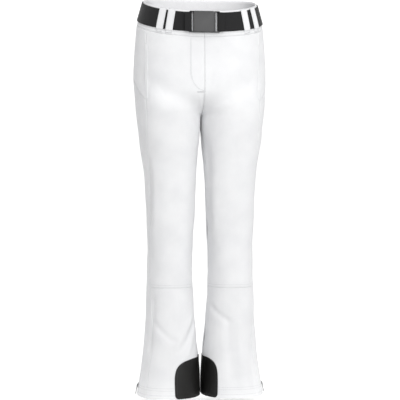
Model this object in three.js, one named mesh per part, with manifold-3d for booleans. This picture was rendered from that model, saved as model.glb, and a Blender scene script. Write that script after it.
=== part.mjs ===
// Flared softshell ski pants with an elastic waist belt and a side-release buckle.
//
// Millimetres, +Z up. The wearer faces -Y, so the wearer's left leg is at +X. The model is laid
// out from the hem up and then lowered, so that the origin is the middle of the waist opening.
// Each sewn piece is a thin closed solid cut out of one garment surface, which runs from two leg
// tubes at the hem, through the crotch curve, to one hip and waist tube.

import * as THREE from 'three';
import { mergeVertices } from 'three/addons/utils/BufferGeometryUtils.js';
import Module from 'manifold-3d';

const wasm = await Module();
wasm.setup();

// Heights above the hem, along the cloth.
const flareTop = 280;
const kneeSeam = 290;
const kneeTop = flareTop + 70;
const crotch = 750;
const hipLine = crotch + 130;
const yokeSeam = crotch + 165;
const waistSeam = crotch + 236;
const waistbandHeight = 67;
const waistTop = waistSeam + waistbandHeight;
const waistTilt = 0.33;
const waistSideRise = 9;
const waistDepth = 100;
const frontRiseCurve = 70;
const backRiseCurve = 130;

// Half widths at the outer side, and the gap between the inner side of a leg and the middle.
// The hips are the widest place, and each other width is given as how much narrower it is.
const hipOuter = 179.5;
const waistNip = 26.5;
const thighTaper = 22.5;
const kneeTaper = 36.5;
const flareTaper = 34;
const hemTaper = 8.5;
const waistOuter = hipOuter - waistNip;
const thighOuter = hipOuter - thighTaper;
const kneeOuter = hipOuter - kneeTaper;
const flareOuter = hipOuter - flareTaper;
const hemOuter = hipOuter - hemTaper;
const hemInner = 2.5;
const kneeInner = 21.8;
const crotchInner = 0.4;
const roundness = 0.86;
const grooveSoftness = 3;
const legToHip = 110;

// A height in the thigh, as a share of the way from above the knee to the crotch.
const thigh = ( share ) => kneeTop + share * ( crotch - kneeTop );

// Cloth.
const softshell = 1.6;
const waistbandThickness = 2.2;
const lightCloth = 0.8;
const guardThickness = 1;
const seamGap = 0.4;
const clearance = 0.35;
const facetRoom = 1.5;
const hemAllowance = 30;
const guardHeight = 104;
const guardCorner = 11;
const guardFront = { left: 91, right: 131 };
const guardBack = 66;

// Zip fasteners.
const chainWidth = 5.6;
const chainThickness = 2.2;
const tapeWidth = 30;
const tapeThickness = 0.6;
const tapeRoom = 0.8;
const gussetWidth = 48;
const chainReveal = 1;
const sliderLength = 14;
const sliderWidth = 8.4;
const sliderThickness = 2.4;
const pullerWidth = 4.2;
const pullerThickness = 1.4;
const pullerLength = 27;
const hemZipBottom = 14;
const hemZipTop = 262;
const flyBottom = crotch + 62;
const flyTop = waistSeam - 10;
const flyFacingWidth = 38;
const pocketBottom = crotch + 42;
const pocketTop = crotch + 195;
const pocketSideTop = crotch + 106;

// Belt, its loops and its buckle.
const webbingWidth = 50;
const webbingThickness = 2;
const beltGap = 1.2;
const beltMiddle = waistTop - 29.5;
const loopWidth = 19;
const loopThickness = 1.2;
const loopPlacesLeft = [ waistOuter - 42, waistOuter - 15.5 ];
const loopPlacesRight = [ waistOuter - 65.5, waistOuter - 42.5 ];
const backLoopPlace = 13.5;
const frontBeltReach = waistOuter - 37;
const buckleHeight = webbingWidth + 5;
const barThickness = 4;
const barPlace = 37.8;
const slotInner = 28.7;
const mouth = 24.5;
const housingBack = 4;
const housingFront = 6;
const coverThickness = 1.5;
const railHeight = 5.2;
const windowStart = - 14.1;
const windowEnd = 0.8;
const armThickness = 3.4;
const padHeight = 4.6;
const armRoot = 20;
const armDepth = 4.6;

const full = 2 * Math.PI;
const pants = new THREE.Group();

function finish( color, roughness, metalness = 0 ) {

	return new THREE.MeshStandardMaterial( { color, roughness, metalness } );

}

const finishes = {
	shell: finish( 0xf2f3f5, 0.85 ),
	lining: finish( 0xdcdee2, 0.9 ),
	belt: finish( 0x1f1f21, 0.9 ),
	guard: finish( 0x26262a, 0.55 ),
	zip: finish( 0x3a3b3f, 0.5 ),
	metal: finish( 0x8b8d92, 0.3, 0.8 ),
	buckle: finish( 0x5b5c60, 0.38, 0.2 ),
	plastic: finish( 0x202124, 0.45 ),
};

function add( name, geometry, material, parent = pants ) {

	const mesh = new THREE.Mesh( geometry, material );
	mesh.name = name;
	parent.add( mesh );
	return mesh;

}

// ---- the garment surface -------------------------------------------------------------------

const flare = ( level ) => flareOuter + ( hemOuter - flareOuter ) * ( 1 - level / flareTop ) ** 2;

// level, inner side, outer side, front, back
const outline = [
	[ 0, hemInner, flare( 0 ), - 92, 92 ],
	[ 0.25 * flareTop, hemInner + 1, flare( 0.25 * flareTop ), - 86, 88 ],
	[ 0.5 * flareTop, 10, flare( 0.5 * flareTop ), - 80, 84 ],
	[ 0.75 * flareTop, 16.7, flare( 0.75 * flareTop ), - 76, 80 ],
	[ flareTop, kneeInner - 0.8, flareOuter, - 73, 77 ],
	[ kneeTop, kneeInner, kneeOuter, - 71, 74 ],
	[ thigh( 0.2 ), kneeInner - 2.3, kneeOuter, - 73, 73 ],
	[ thigh( 0.375 ), 16, thighOuter - 10.5, - 77, 75 ],
	[ thigh( 0.55 ), 13, thighOuter - 7.2, - 81, 78 ],
	[ thigh( 0.7 ), 9, thighOuter, - 88, 84 ],
	[ thigh( 0.85 ), 3.5, hipOuter - 13.5, - 97, 93 ],
	[ crotch, crotchInner, hipOuter - 7.5, - 105, 105 ],
	[ crotch + 50, crotchInner, hipOuter - 2.5, - 109.5, 116 ],
	[ crotch + 100, crotchInner, hipOuter, - 107.4, 121 ],
	[ crotch + 150, crotchInner, hipOuter - 0.5, - 104, 119 ],
	[ crotch + 200, crotchInner, hipOuter - 4.7, - 102, 112 ],
	[ waistSeam, crotchInner, waistOuter + 18, - 100, 105.5 ],
	[ waistTop, crotchInner, waistOuter, - 99.5, 99 ],
];

// level, angle of the seam between the front and side panels, in degrees
const frontSeamPlaces = [
	[ 0, 138 ],
	[ 0.25 * flareTop, 140 ],
	[ 0.5 * flareTop, 136 ],
	[ 0.75 * flareTop, 141 ],
	[ flareTop, 149.5 ],
	[ kneeTop, 156 ],
	[ thigh( 0.2 ), 158 ],
	[ thigh( 0.375 ), 154 ],
	[ thigh( 0.55 ), 153 ],
	[ thigh( 0.7 ), 146 ],
	[ thigh( 0.85 ), 139 ],
	[ crotch, 135 ],
	[ crotch + 20, 134 ],
	[ crotch + 50, 124.5 ],
	[ crotch + 75, 116 ],
	[ crotch + 100, 110 ],
	[ crotch + 150, 109 ],
	[ crotch + 200, 114 ],
	[ waistSeam, 119.5 ],
];

// A smooth curve through rows of [ level, value, value, ... ].
function curveThrough( rows ) {

	const rise = ( i, k ) => ( rows[ i + 1 ][ k ] - rows[ i ][ k ] ) / ( rows[ i + 1 ][ 0 ] - rows[ i ][ 0 ] );
	const slope = ( i, k ) => {

		if ( i === 0 ) return rise( 0, k );
		if ( i === rows.length - 1 ) return rise( i - 1, k );
		const below = rows[ i ][ 0 ] - rows[ i - 1 ][ 0 ];
		const above = rows[ i + 1 ][ 0 ] - rows[ i ][ 0 ];
		return ( rise( i, k ) * below + rise( i - 1, k ) * above ) / ( below + above );

	};

	return ( level ) => {

		let i = rows.findLastIndex( ( row ) => row[ 0 ] <= level );
		i = THREE.MathUtils.clamp( i, 0, rows.length - 2 );
		const span = rows[ i + 1 ][ 0 ] - rows[ i ][ 0 ];
		const t = THREE.MathUtils.clamp( ( level - rows[ i ][ 0 ] ) / span, 0, 1 );
		return rows[ i ].slice( 1 ).map( ( value, index ) => {

			const k = index + 1;
			const start = ( 1 + 2 * t ) * ( 1 - t ) ** 2 * value;
			const end = t * t * ( 3 - 2 * t ) * rows[ i + 1 ][ k ];
			const bend = t * ( 1 - t ) * span * ( ( 1 - t ) * slope( i, k ) - t * slope( i + 1, k ) );
			return start + end + bend;

		} );

	};

}

const outlineAt = curveThrough( outline );
const frontSeamDegrees = curveThrough( frontSeamPlaces );
const frontSeam = ( level ) => THREE.MathUtils.degToRad( frontSeamDegrees( level )[ 0 ] );
const rounded = ( value ) => Math.sign( value ) * Math.abs( value ) ** roundness;

// How far the crotch curve has opened at a level: 0 at the crotch, 1 above its height.
function openness( level, height ) {

	const t = THREE.MathUtils.clamp( ( level - crotch ) / height, 0, 1 );
	return Math.sqrt( 1 - ( 1 - t ) ** 2 );

}

// The outer face of the left half. The angle is 0 at the inseam or centre front, half a turn at
// the side seam and a full turn at the inseam or centre back. Above the hips it may run on, round
// the right half. Between the crotch and the hips the groove between the legs fills up from the
// middle, and the leg's section turns into half of the hip's section.
function skin( level, angle ) {

	const [ inner, outer, front, back ] = outlineAt( level );
	const middle = ( front + back ) / 2;
	const depth = ( back - front ) / 2;
	const legX = ( inner + outer ) / 2 - ( outer - inner ) / 2 * rounded( Math.cos( angle ) );
	const joined = level >= crotch;
	const atFront = joined ? angle < Math.PI : Math.sin( angle ) > 0;
	const crown = Math.abs( rounded( Math.sin( angle ) ) ) ** grooveSoftness;
	const opened = openness( level, atFront ? frontRiseCurve : backRiseCurve );
	const fill = Math.cos( angle ) > 0 ? opened ** grooveSoftness : 0;
	const reach = ( crown + fill - crown * fill ) ** ( 1 / grooveSoftness );
	const legY = middle - ( atFront ? 1 : - 1 ) * depth * reach;
	const hipX = outer * rounded( Math.sin( angle / 2 ) );
	const hipY = middle - depth * rounded( Math.cos( angle / 2 ) );
	const asHip = THREE.MathUtils.smoothstep( level, crotch, crotch + legToHip );
	const x = THREE.MathUtils.lerp( joined && angle < 0 ? - legX : legX, hipX, asHip );
	const y = THREE.MathUtils.lerp( legY, hipY, asHip );
	const rise = waistTilt * y + waistSideRise * ( 1 - ( y / waistDepth ) ** 2 );
	return new THREE.Vector3( x, y, level + rise * THREE.MathUtils.smoothstep( level, hipLine, waistSeam ) );

}

function outward( level, angle ) {

	const round = skin( level, angle + 0.01 ).sub( skin( level, angle - 0.01 ) );
	const up = skin( level + 0.5, angle ).sub( skin( level - 0.5, angle ) );
	return round.cross( up ).normalize();

}

function under( level, angle, inset ) {

	return skin( level, angle ).addScaledVector( outward( level, angle ), - inset );

}

// The angle reached by walking a distance round the surface at one level.
function walk( level, angle, distance ) {

	const step = 0.01 * Math.sign( distance );
	let left = Math.abs( distance );
	let here = skin( level, angle );
	for ( ;; ) {

		const next = skin( level, angle + step );
		const length = next.distanceTo( here );
		if ( length >= left ) return angle + step * left / length;
		left -= length;
		angle += step;
		here = next;

	}

}

const valueOf = ( value, ...at ) => ( typeof value === 'function' ? value( ...at ) : value );

// A closed thin solid under the garment surface, between two angles and along rows of levels.
function sheet( { levels, from, to, columns, inset = 0, thickness, side = 1 } ) {

	const corners = [];
	for ( const depth of [ 0, thickness ] ) {

		for ( const level of levels ) {

			for ( let column = 0; column <= columns; column ++ ) {

				const angle = THREE.MathUtils.lerp( valueOf( from, level ), valueOf( to, level ), column / columns );
				const point = under( level, angle, valueOf( inset, level, angle ) + depth );
				corners.push( side * point.x, point.y, point.z );

			}

		}

	}

	const width = columns + 1;
	const layer = levels.length * width;
	const faces = [];
	const quad = ( a, b, c, d ) => faces.push( a, b, c, a, c, d );
	for ( let row = 0; row < levels.length - 1; row ++ ) {

		for ( let column = 0; column < columns; column ++ ) {

			const a = row * width + column;
			quad( a, a + 1, a + 1 + width, a + width );
			quad( layer + a, layer + a + width, layer + a + 1 + width, layer + a + 1 );

		}

		const start = row * width;
		const end = start + columns;
		quad( start + width, start + width + layer, start + layer, start );
		quad( end, end + layer, end + width + layer, end + width );

	}

	const top = ( levels.length - 1 ) * width;
	for ( let column = 0; column < columns; column ++ ) {

		quad( column, column + layer, column + 1 + layer, column + 1 );
		quad( top + column + 1, top + column + 1 + layer, top + column + layer, top + column );

	}

	if ( side < 0 ) faces.reverse();
	const geometry = new THREE.BufferGeometry();
	geometry.setAttribute( 'position', new THREE.Float32BufferAttribute( corners, 3 ) );
	geometry.setIndex( faces );
	return geometry;

}

const between = ( low, high, steps ) =>
	Array.from( { length: steps + 1 }, ( _, i ) => THREE.MathUtils.lerp( low, high, i / steps ) );

// ---- booleans ------------------------------------------------------------------------------

function solidOf( geometry ) {

	const bare = geometry.clone();
	bare.deleteAttribute( 'normal' );
	bare.deleteAttribute( 'uv' );
	const merged = mergeVertices( bare, 1e-4 );
	return new wasm.Manifold( new wasm.Mesh( {
		numProp: 3,
		vertProperties: merged.attributes.position.array,
		triVerts: Uint32Array.from( merged.index.array ),
	} ) );

}

function geometryOf( solid ) {

	const mesh = solid.getMesh();
	const geometry = new THREE.BufferGeometry();
	geometry.setAttribute( 'position', new THREE.BufferAttribute( mesh.vertProperties, 3 ) );
	geometry.setIndex( new THREE.BufferAttribute( mesh.triVerts, 1 ) );
	return geometry;

}

// A box given by its lowest and highest values on each axis.
function block( x0, x1, y0, y1, z0, z1 ) {

	const box = new THREE.BoxGeometry( x1 - x0, y1 - y0, z1 - z0 );
	return box.translate( ( x0 + x1 ) / 2, ( y0 + y1 ) / 2, ( z0 + z1 ) / 2 );

}

// A plate in the XZ plane with rounded corners, from y0 to y1.
function roundedPlate( x0, x1, y0, y1, z0, z1, radius ) {

	const shape = new THREE.Shape();
	shape.moveTo( x0 + radius, z0 );
	shape.absarc( x1 - radius, z0 + radius, radius, - Math.PI / 2, 0 );
	shape.absarc( x1 - radius, z1 - radius, radius, 0, Math.PI / 2 );
	shape.absarc( x0 + radius, z1 - radius, radius, Math.PI / 2, Math.PI );
	shape.absarc( x0 + radius, z0 + radius, radius, Math.PI, 1.5 * Math.PI );
	const plate = new THREE.ExtrudeGeometry( shape, { depth: y1 - y0, bevelEnabled: false, curveSegments: 4 } );
	return plate.rotateX( Math.PI / 2 ).translate( 0, y1, 0 );

}

// ---- outer panels --------------------------------------------------------------------------

const halfGap = seamGap / 2;
const hemSlit = chainWidth / 2 + chainReveal;
const slitEnd = hemZipTop + 4;
const lowRows = [ 0, 20, 60, 110, 165, 225 ];
const thighRows = [ 0.12, 0.26, 0.413, 0.565, 0.717, 0.848, 0.935 ]
	.map( ( share ) => kneeSeam + share * ( crotch - kneeSeam ) );
const curveRows = [ - 6, 0, 3, 10, 22, 40, 65, 100, 130 ].map( ( rise ) => crotch + rise );
const zipSide = ( level ) => ( level < hemZipTop + 2 ? hemSlit : halfGap );

for ( const [ hand, side ] of [ [ 'left', 1 ], [ 'right', - 1 ] ] ) {

	const panel = ( name, options ) =>
		add( `${ name }_${ hand }`, sheet( { thickness: softshell, side, ...options } ), finishes.shell );

	panel( 'shin_panel', {
		levels: [ ...lowRows, kneeSeam - halfGap ],
		from: ( level ) => walk( level, 0, halfGap ),
		to: ( level ) => walk( level, frontSeam( level ), - halfGap ),
		columns: 8,
	} );
	panel( 'front_panel', {
		levels: [ kneeSeam + halfGap, ...thighRows, ...curveRows, waistSeam - 36, waistSeam - halfGap ],
		from: ( level ) => walk( level, 0, halfGap ),
		to: ( level ) => walk( level, frontSeam( level ), - halfGap ),
		columns: 8,
	} );
	panel( 'side_panel', {
		levels: [ ...lowRows, hemZipTop, slitEnd, kneeSeam, ...thighRows, ...curveRows, waistSeam - 36, waistSeam - halfGap ],
		from: ( level ) => walk( level, frontSeam( level ), halfGap ),
		to: ( level ) => walk( level, Math.PI, - zipSide( level ) ),
		columns: 3,
	} );
	panel( 'back_panel', {
		levels: [ ...lowRows, hemZipTop, slitEnd, kneeSeam, ...thighRows, ...curveRows, yokeSeam - halfGap ],
		from: ( level ) => walk( level, Math.PI, zipSide( level ) ),
		to: ( level ) => walk( level, full, - halfGap ),
		columns: 10,
	} );
	panel( 'back_yoke', {
		levels: [ yokeSeam + halfGap, yokeSeam + 36, waistSeam - halfGap ],
		from: ( level ) => walk( level, Math.PI, halfGap ),
		to: ( level ) => walk( level, full, - halfGap ),
		columns: 8,
	} );
	panel( 'waistband', {
		levels: [ waistSeam + halfGap, waistSeam + waistbandHeight / 2, waistTop ],
		from: ( level ) => walk( level, 0, halfGap ),
		to: ( level ) => walk( level, full, - halfGap ),
		columns: 16,
		thickness: waistbandThickness,
	} );

}

// ---- hem: scuff guards, facings and snow gaiters -------------------------------------------

const facingInset = softshell + clearance + facetRoom;
const guardSpread = ( level, reach ) => reach * ( 1 - ( level / ( guardHeight + 1 ) ) ** 5 ) ** ( 1 / 4 )
	- guardCorner * ( 1 - Math.sqrt( 1 - Math.max( 0, 1 - level / guardCorner ) ** 2 ) );
const gaiterTop = 215;
const gaiterBottom = 16;
const gaiterShape = curveThrough( [ [ gaiterBottom, 24 ], [ 60, 23 ], [ 130, 14 ], [ gaiterTop, 6.6 ] ] );

for ( const [ hand, side ] of [ [ 'left', 1 ], [ 'right', - 1 ] ] ) {

	add( `scuff_guard_${ hand }`, sheet( {
		levels: [ 0.01, 0.04, 0.08, 0.13, 0.38, 0.58, 0.74, 0.84, 0.9, 0.94, 0.97, 0.985, 1 ].map( ( share ) => share * guardHeight ),
		from: ( level ) => walk( level, 0, - guardSpread( level, guardBack ) ),
		to: ( level ) => walk( level, 0, guardSpread( level, guardFront[ hand ] ) ),
		columns: 18,
		inset: - guardThickness - clearance,
		thickness: guardThickness,
		side,
	} ), finishes.guard );
	add( `hem_facing_${ hand }`, sheet( {
		levels: [ 1, hemAllowance ],
		from: ( level ) => walk( level, - Math.PI, gussetWidth / 2 + 3 ),
		to: ( level ) => walk( level, Math.PI, - gussetWidth / 2 - 3 ),
		columns: 20,
		inset: facingInset,
		thickness: lightCloth,
		side,
	} ), finishes.shell );
	add( `snow_gaiter_${ hand }`, sheet( {
		levels: [ gaiterBottom, 36, 60, 95, 130, 172, gaiterTop ],
		from: 0.004,
		to: full - 0.004,
		columns: 18,
		inset: ( level ) => gaiterShape( level )[ 0 ],
		thickness: lightCloth,
		side,
	} ), finishes.lining );

}

// ---- zip fasteners -------------------------------------------------------------------------

// A strip that follows the surface up a line of angles.
function strip( { levels, line, width, inset, thickness, side = 1, columns = 2 } ) {

	return sheet( {
		levels,
		from: ( level ) => walk( level, valueOf( line, level ), - width / 2 ),
		to: ( level ) => walk( level, valueOf( line, level ), width / 2 ),
		columns,
		inset,
		thickness,
		side,
	} );

}

// Slider and puller are modelled with X outward, Z up the chain and the chain's face at X = 0.
function sliderGeometry() {

	const shape = new THREE.Shape();
	const half = sliderWidth / 2;
	shape.moveTo( - half * 0.62, - sliderLength / 2 );
	shape.lineTo( half * 0.62, - sliderLength / 2 );
	shape.lineTo( half, sliderLength * 0.1 );
	shape.lineTo( half, sliderLength / 2 );
	shape.lineTo( - half, sliderLength / 2 );
	shape.lineTo( - half, sliderLength * 0.1 );
	const plate = new THREE.ExtrudeGeometry( shape, { depth: sliderThickness * 0.6, bevelEnabled: false } );
	plate.applyMatrix4( new THREE.Matrix4().makeBasis(
		new THREE.Vector3( 0, 1, 0 ), new THREE.Vector3( 0, 0, 1 ), new THREE.Vector3( 1, 0, 0 ) ) );
	const bridge = block( sliderThickness * 0.4, sliderThickness, - 1.2, 1.2, - 4, 5 );
	return geometryOf( solidOf( plate ).add( solidOf( bridge ) ) );

}

const pullerStart = sliderThickness + clearance;

function pullerGeometry( length ) {

	return block( pullerStart, pullerStart + pullerThickness, - pullerWidth / 2, pullerWidth / 2, 3 - length, 3 );

}

// Turns and moves a geometry onto the surface: its X along the outward normal, its Z up the line.
function ontoSurface( geometry, level, line, lift, side ) {

	const at = ( height ) => under( height, valueOf( line, height ), - lift );
	const out = outward( level, valueOf( line, level ) );
	const up = at( level + 2 ).sub( at( level - 2 ) ).normalize();
	const across = up.clone().cross( out ).normalize();
	const place = new THREE.Matrix4().makeBasis( across.clone().cross( up ), across, up ).setPosition( at( level ) );
	geometry.applyMatrix4( place );
	if ( side > 0 ) return geometry;
	geometry.scale( - 1, 1, 1 );
	const order = Array.from( geometry.index.array ).reverse();
	geometry.setIndex( order );
	return geometry;

}

const tapeInset = softshell + clearance + tapeRoom;
const chainInset = tapeInset - clearance - chainThickness;
const gussetInset = tapeInset + tapeThickness + clearance + 0.3;
const sliderLift = 0.6;
const hemSliderLevel = hemZipBottom + sliderLength / 2 + 3;
const hemRows = between( hemZipBottom, hemZipTop, 8 );

for ( const [ hand, side ] of [ [ 'left', 1 ], [ 'right', - 1 ] ] ) {

	const seam = { levels: hemRows, line: Math.PI, side };
	add( `hem_zip_teeth_${ hand }`,
		strip( { ...seam, width: chainWidth, inset: chainInset, thickness: chainThickness } ), finishes.zip );
	add( `hem_zip_tape_${ hand }`,
		strip( { ...seam, width: tapeWidth, inset: tapeInset, thickness: tapeThickness, columns: 4 } ), finishes.zip );
	add( `hem_zip_gusset_${ hand }`,
		strip( { ...seam, width: gussetWidth, inset: gussetInset, thickness: lightCloth, columns: 6 } ), finishes.lining );
	add( `hem_zip_slider_${ hand }`,
		ontoSurface( sliderGeometry(), hemSliderLevel, Math.PI, sliderLift, side ), finishes.metal );
	add( `hem_zip_puller_${ hand }`,
		ontoSurface( pullerGeometry( pullerLength ), hemSliderLevel, Math.PI, sliderLift, side ), finishes.plastic );

}

// The fly: a facing on the right front, then puller, slider, chain, tape and guard behind it.
const flyPullerInset = facingInset + lightCloth + clearance;
const flySliderInset = flyPullerInset + pullerThickness + clearance + sliderThickness;
const flyChainInset = flySliderInset + 0.5;
const flyTapeInset = flyChainInset + chainThickness + clearance;
const flyGuardInset = flyTapeInset + tapeThickness + clearance;
const flyRows = between( flyBottom, flyTop, 7 );
const flySliderLevel = flyTop - sliderLength;
const facingWidth = ( level ) => {

	const drop = THREE.MathUtils.clamp( ( flyBottom + 48 - level ) / 50, 0, 1 );
	return flyFacingWidth * Math.sqrt( 1 - drop ** 2 );

};

add( 'fly_facing', sheet( {
	levels: [ flyBottom, flyBottom + 6, flyBottom + 20, flyBottom + 48, crotch + 170, waistSeam - 2 ],
	from: ( level ) => walk( level, 0, 1 ),
	to: ( level ) => walk( level, 0, facingWidth( level ) ),
	columns: 4,
	inset: facingInset,
	thickness: lightCloth,
	side: - 1,
} ), finishes.shell );
add( 'fly_zip_teeth', strip( {
	levels: flyRows, line: 0, width: chainWidth, inset: flyChainInset, thickness: chainThickness,
} ), finishes.zip );
add( 'fly_zip_tape', strip( {
	levels: flyRows, line: 0, width: tapeWidth, inset: flyTapeInset, thickness: tapeThickness, columns: 4,
} ), finishes.zip );
add( 'fly_guard', strip( {
	levels: flyRows, line: 0, width: 44, inset: flyGuardInset, thickness: lightCloth, columns: 4,
} ), finishes.shell );
add( 'fly_zip_slider',
	ontoSurface( sliderGeometry(), flySliderLevel, 0, - flySliderInset, 1 ), finishes.metal );
add( 'fly_zip_puller',
	ontoSurface( pullerGeometry( 24 ), flySliderLevel, 0, - flySliderInset, 1 ), finishes.metal );

// Side pockets: a concealed zip behind the seam, with the bag between that seam and the side seam.
const pocketTapeInset = flySliderInset + 2.8;
const pocketBagInset = pocketTapeInset + chainThickness + clearance;
const pocketRows = between( pocketBottom, pocketTop, 7 );
const pocketSliderLevel = pocketTop - sliderLength;

for ( const [ hand, side ] of [ [ 'left', 1 ], [ 'right', - 1 ] ] ) {

	add( `pocket_zip_${ hand }`, strip( {
		levels: pocketRows, line: frontSeam, width: 20, inset: pocketTapeInset, thickness: 1, side,
	} ), finishes.zip );
	add( `pocket_zip_slider_${ hand }`,
		ontoSurface( sliderGeometry(), pocketSliderLevel, frontSeam, - flySliderInset, side ), finishes.metal );
	add( `pocket_bag_${ hand }`, sheet( {
		levels: [ pocketBottom - 6, pocketBottom + 30, pocketSideTop - 20, pocketSideTop, pocketTop - 40, pocketTop ],
		from: ( level ) => walk( level, frontSeam( level ), - 14 ),
		to: ( level ) => THREE.MathUtils.lerp( walk( level, frontSeam( level ), 16 ), Math.PI - 0.06,
			THREE.MathUtils.clamp( ( level - pocketBottom ) / ( pocketSideTop - pocketBottom ), 0, 1 ) ),
		columns: 5,
		inset: pocketBagInset,
		thickness: 2.4,
		side,
	} ), finishes.lining );

}

// ---- inside of the waist -------------------------------------------------------------------

const liningInset = waistbandThickness + clearance;
const innerFace = liningInset + 1 + clearance;
const snapRadius = 6;
const snapThickness = 1;
const tabInset = innerFace + 2 * ( snapThickness + clearance );

add( 'waistband_lining', sheet( {
	levels: [ waistSeam + 2, waistSeam + waistbandHeight / 2, waistTop - 1.5 ],
	from: ( level ) => walk( level, 0, 2 ),
	to: ( level ) => 2 * full - walk( level, 0, 2 ),
	columns: 32,
	inset: liningInset,
	thickness: 1,
} ), finishes.lining );
add( 'waistband_tab', strip( {
	levels: [ waistSeam + 6, waistTop - 5 ], line: 0, width: 70, inset: tabInset, thickness: 1.2, columns: 6,
} ), finishes.shell );

function snapDisc( inset ) {

	const disc = new THREE.CylinderGeometry( snapRadius, snapRadius, snapThickness, 16 );
	disc.rotateZ( - Math.PI / 2 );
	return ontoSurface( disc, waistSeam + waistbandHeight / 2, 0, - inset - snapThickness / 2, 1 );

}

add( 'waist_snap_cap', snapDisc( innerFace ), finishes.metal );
add( 'waist_snap_socket', snapDisc( innerFace + snapThickness + clearance ), finishes.metal );
add( 'care_label', strip( {
	levels: [ waistSeam - 62, waistSeam - 4 ],
	line: ( level ) => walk( level, full, - 30 ),
	width: 35,
	inset: innerFace,
	thickness: 0.4,
} ), finishes.lining );

for ( const [ hand, side ] of [ [ 'left', 1 ], [ 'right', - 1 ] ] ) {

	add( `hanger_loop_${ hand }`, strip( {
		levels: [ waistSeam - 48, waistSeam - 2 ], line: Math.PI, width: 7, inset: innerFace, thickness: 1.2, side,
	} ), finishes.lining );

}

// ---- belt loops ----------------------------------------------------------------------------

const beltOut = beltGap + webbingThickness;
const loopHigh = beltOut + clearance + loopThickness;
const loopLow = clearance + loopThickness;
const beltLow = beltMiddle - webbingWidth / 2;
const beltHigh = beltMiddle + webbingWidth / 2;
const loopRise = curveThrough( [
	[ beltLow - 11, - loopLow ],
	[ beltLow - 5.5, - loopLow ],
	[ beltLow - 1.5, - loopHigh ],
	[ beltHigh + 1.5, - loopHigh ],
	[ beltHigh + 5.5, - loopLow ],
] );

// The angle at which the waist tube is a given distance to the side.
const acrossWaist = ( level, x ) => 2 * Math.asin( ( x / outlineAt( level )[ 1 ] ) ** ( 1 / roundness ) );

function beltLoop( name, line, side ) {

	add( name, strip( {
		levels: [ beltLow - 11, beltLow - 5.5, beltLow - 1.5, beltMiddle, beltHigh + 1.5, beltHigh + 5.5 ],
		line,
		width: loopWidth,
		inset: ( level ) => ( level === beltMiddle ? - loopHigh : loopRise( level )[ 0 ] ),
		thickness: loopThickness,
		side,
		columns: 3,
	} ), finishes.shell );

}

for ( const [ hand, side, places ] of [ [ 'left', 1, loopPlacesLeft ], [ 'right', - 1, loopPlacesRight ] ] ) {

	beltLoop( `belt_loop_${ hand }_front`, acrossWaist( beltMiddle, places[ 0 ] ), side );
	beltLoop( `belt_loop_${ hand }_side`, acrossWaist( beltMiddle, places[ 1 ] ), side );
	beltLoop( `belt_loop_${ hand }_back`, ( level ) => walk( level, full, - backLoopPlace ), side );

}

// ---- belt ----------------------------------------------------------------------------------

const buckleY = skin( beltMiddle, 0 ).y - 0.7 - housingBack;
const buckleZ = skin( beltMiddle, 0 ).z;
const barWidth = barThickness;

// Webbing folded round one bar of the buckle, standing on the belt's own line.
function barFold( side ) {

	const hole = barThickness / 2 + clearance;
	const reach = hole + webbingThickness * 0.9;
	const low = buckleZ - webbingWidth / 2;
	const high = buckleZ + webbingWidth / 2;
	const x = side * barPlace;
	const outer = roundedPlate( x - reach, x + reach, buckleY - reach, buckleY + reach, low, high, 1.5 );
	const tail = block( Math.min( x, x + side * 12 ), Math.max( x, x + side * 12 ),
		buckleY + hole, buckleY + reach, low, high );
	const inner = block( x - hole, x + hole, buckleY - hole, buckleY + hole, low - 1, high + 1 );
	return solidOf( outer ).add( solidOf( tail ) ).subtract( solidOf( inner ) );

}

function beltGeometry( from, to, columns, foldSide ) {

	const strap = sheet( {
		levels: [ beltLow, beltMiddle, beltHigh ], from, to, columns, inset: - beltOut, thickness: webbingThickness,
	} );
	return geometryOf( solidOf( strap ).add( barFold( foldSide ) ) );

}

// One facet of the belt for each 3.8 mm of half waist, so a larger waist keeps the belt clear.
const beltColumns = Math.round( waistOuter / 3.825 );
const foldEnd = barPlace + barThickness / 2 + 0.8;
add( 'belt_webbing', beltGeometry(
	( level ) => acrossWaist( level, frontBeltReach + seamGap ),
	( level ) => 2 * full - acrossWaist( level, foldEnd ), beltColumns, - 1 ), finishes.belt );
add( 'belt_front_left', beltGeometry(
	( level ) => acrossWaist( level, foldEnd ),
	( level ) => acrossWaist( level, frontBeltReach ), 6, 1 ), finishes.belt );

// ---- buckle --------------------------------------------------------------------------------

const buckle = new THREE.Group();
buckle.position.set( 0, buckleY, buckleZ );
pants.add( buckle );

const halfBuckle = buckleHeight / 2;
const slotHalf = webbingWidth / 2 + clearance;
const barOuter = barPlace + barWidth / 2;
const slotOuter = barPlace - barWidth / 2;
const cavityHalf = halfBuckle - railHeight;
const cavityBack = armDepth / 2 + clearance;

// One end bar, its slot and the two cheeks that hold it, made at +X.
function barEnd( inner ) {

	const plate = roundedPlate( inner, barOuter, - housingFront, housingBack, - halfBuckle, halfBuckle, 1.5 );
	const slot = block( slotInner, slotOuter, - 20, 20, - slotHalf, slotHalf );
	const front = block( slotOuter - 1, barOuter + 1, - 20, - barThickness / 2, - slotHalf, slotHalf );
	const back = block( slotOuter - 1, barOuter + 1, barThickness / 2, 20, - slotHalf, slotHalf );
	return solidOf( plate ).subtract( solidOf( slot ) ).subtract( solidOf( front ) ).subtract( solidOf( back ) );

}

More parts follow.
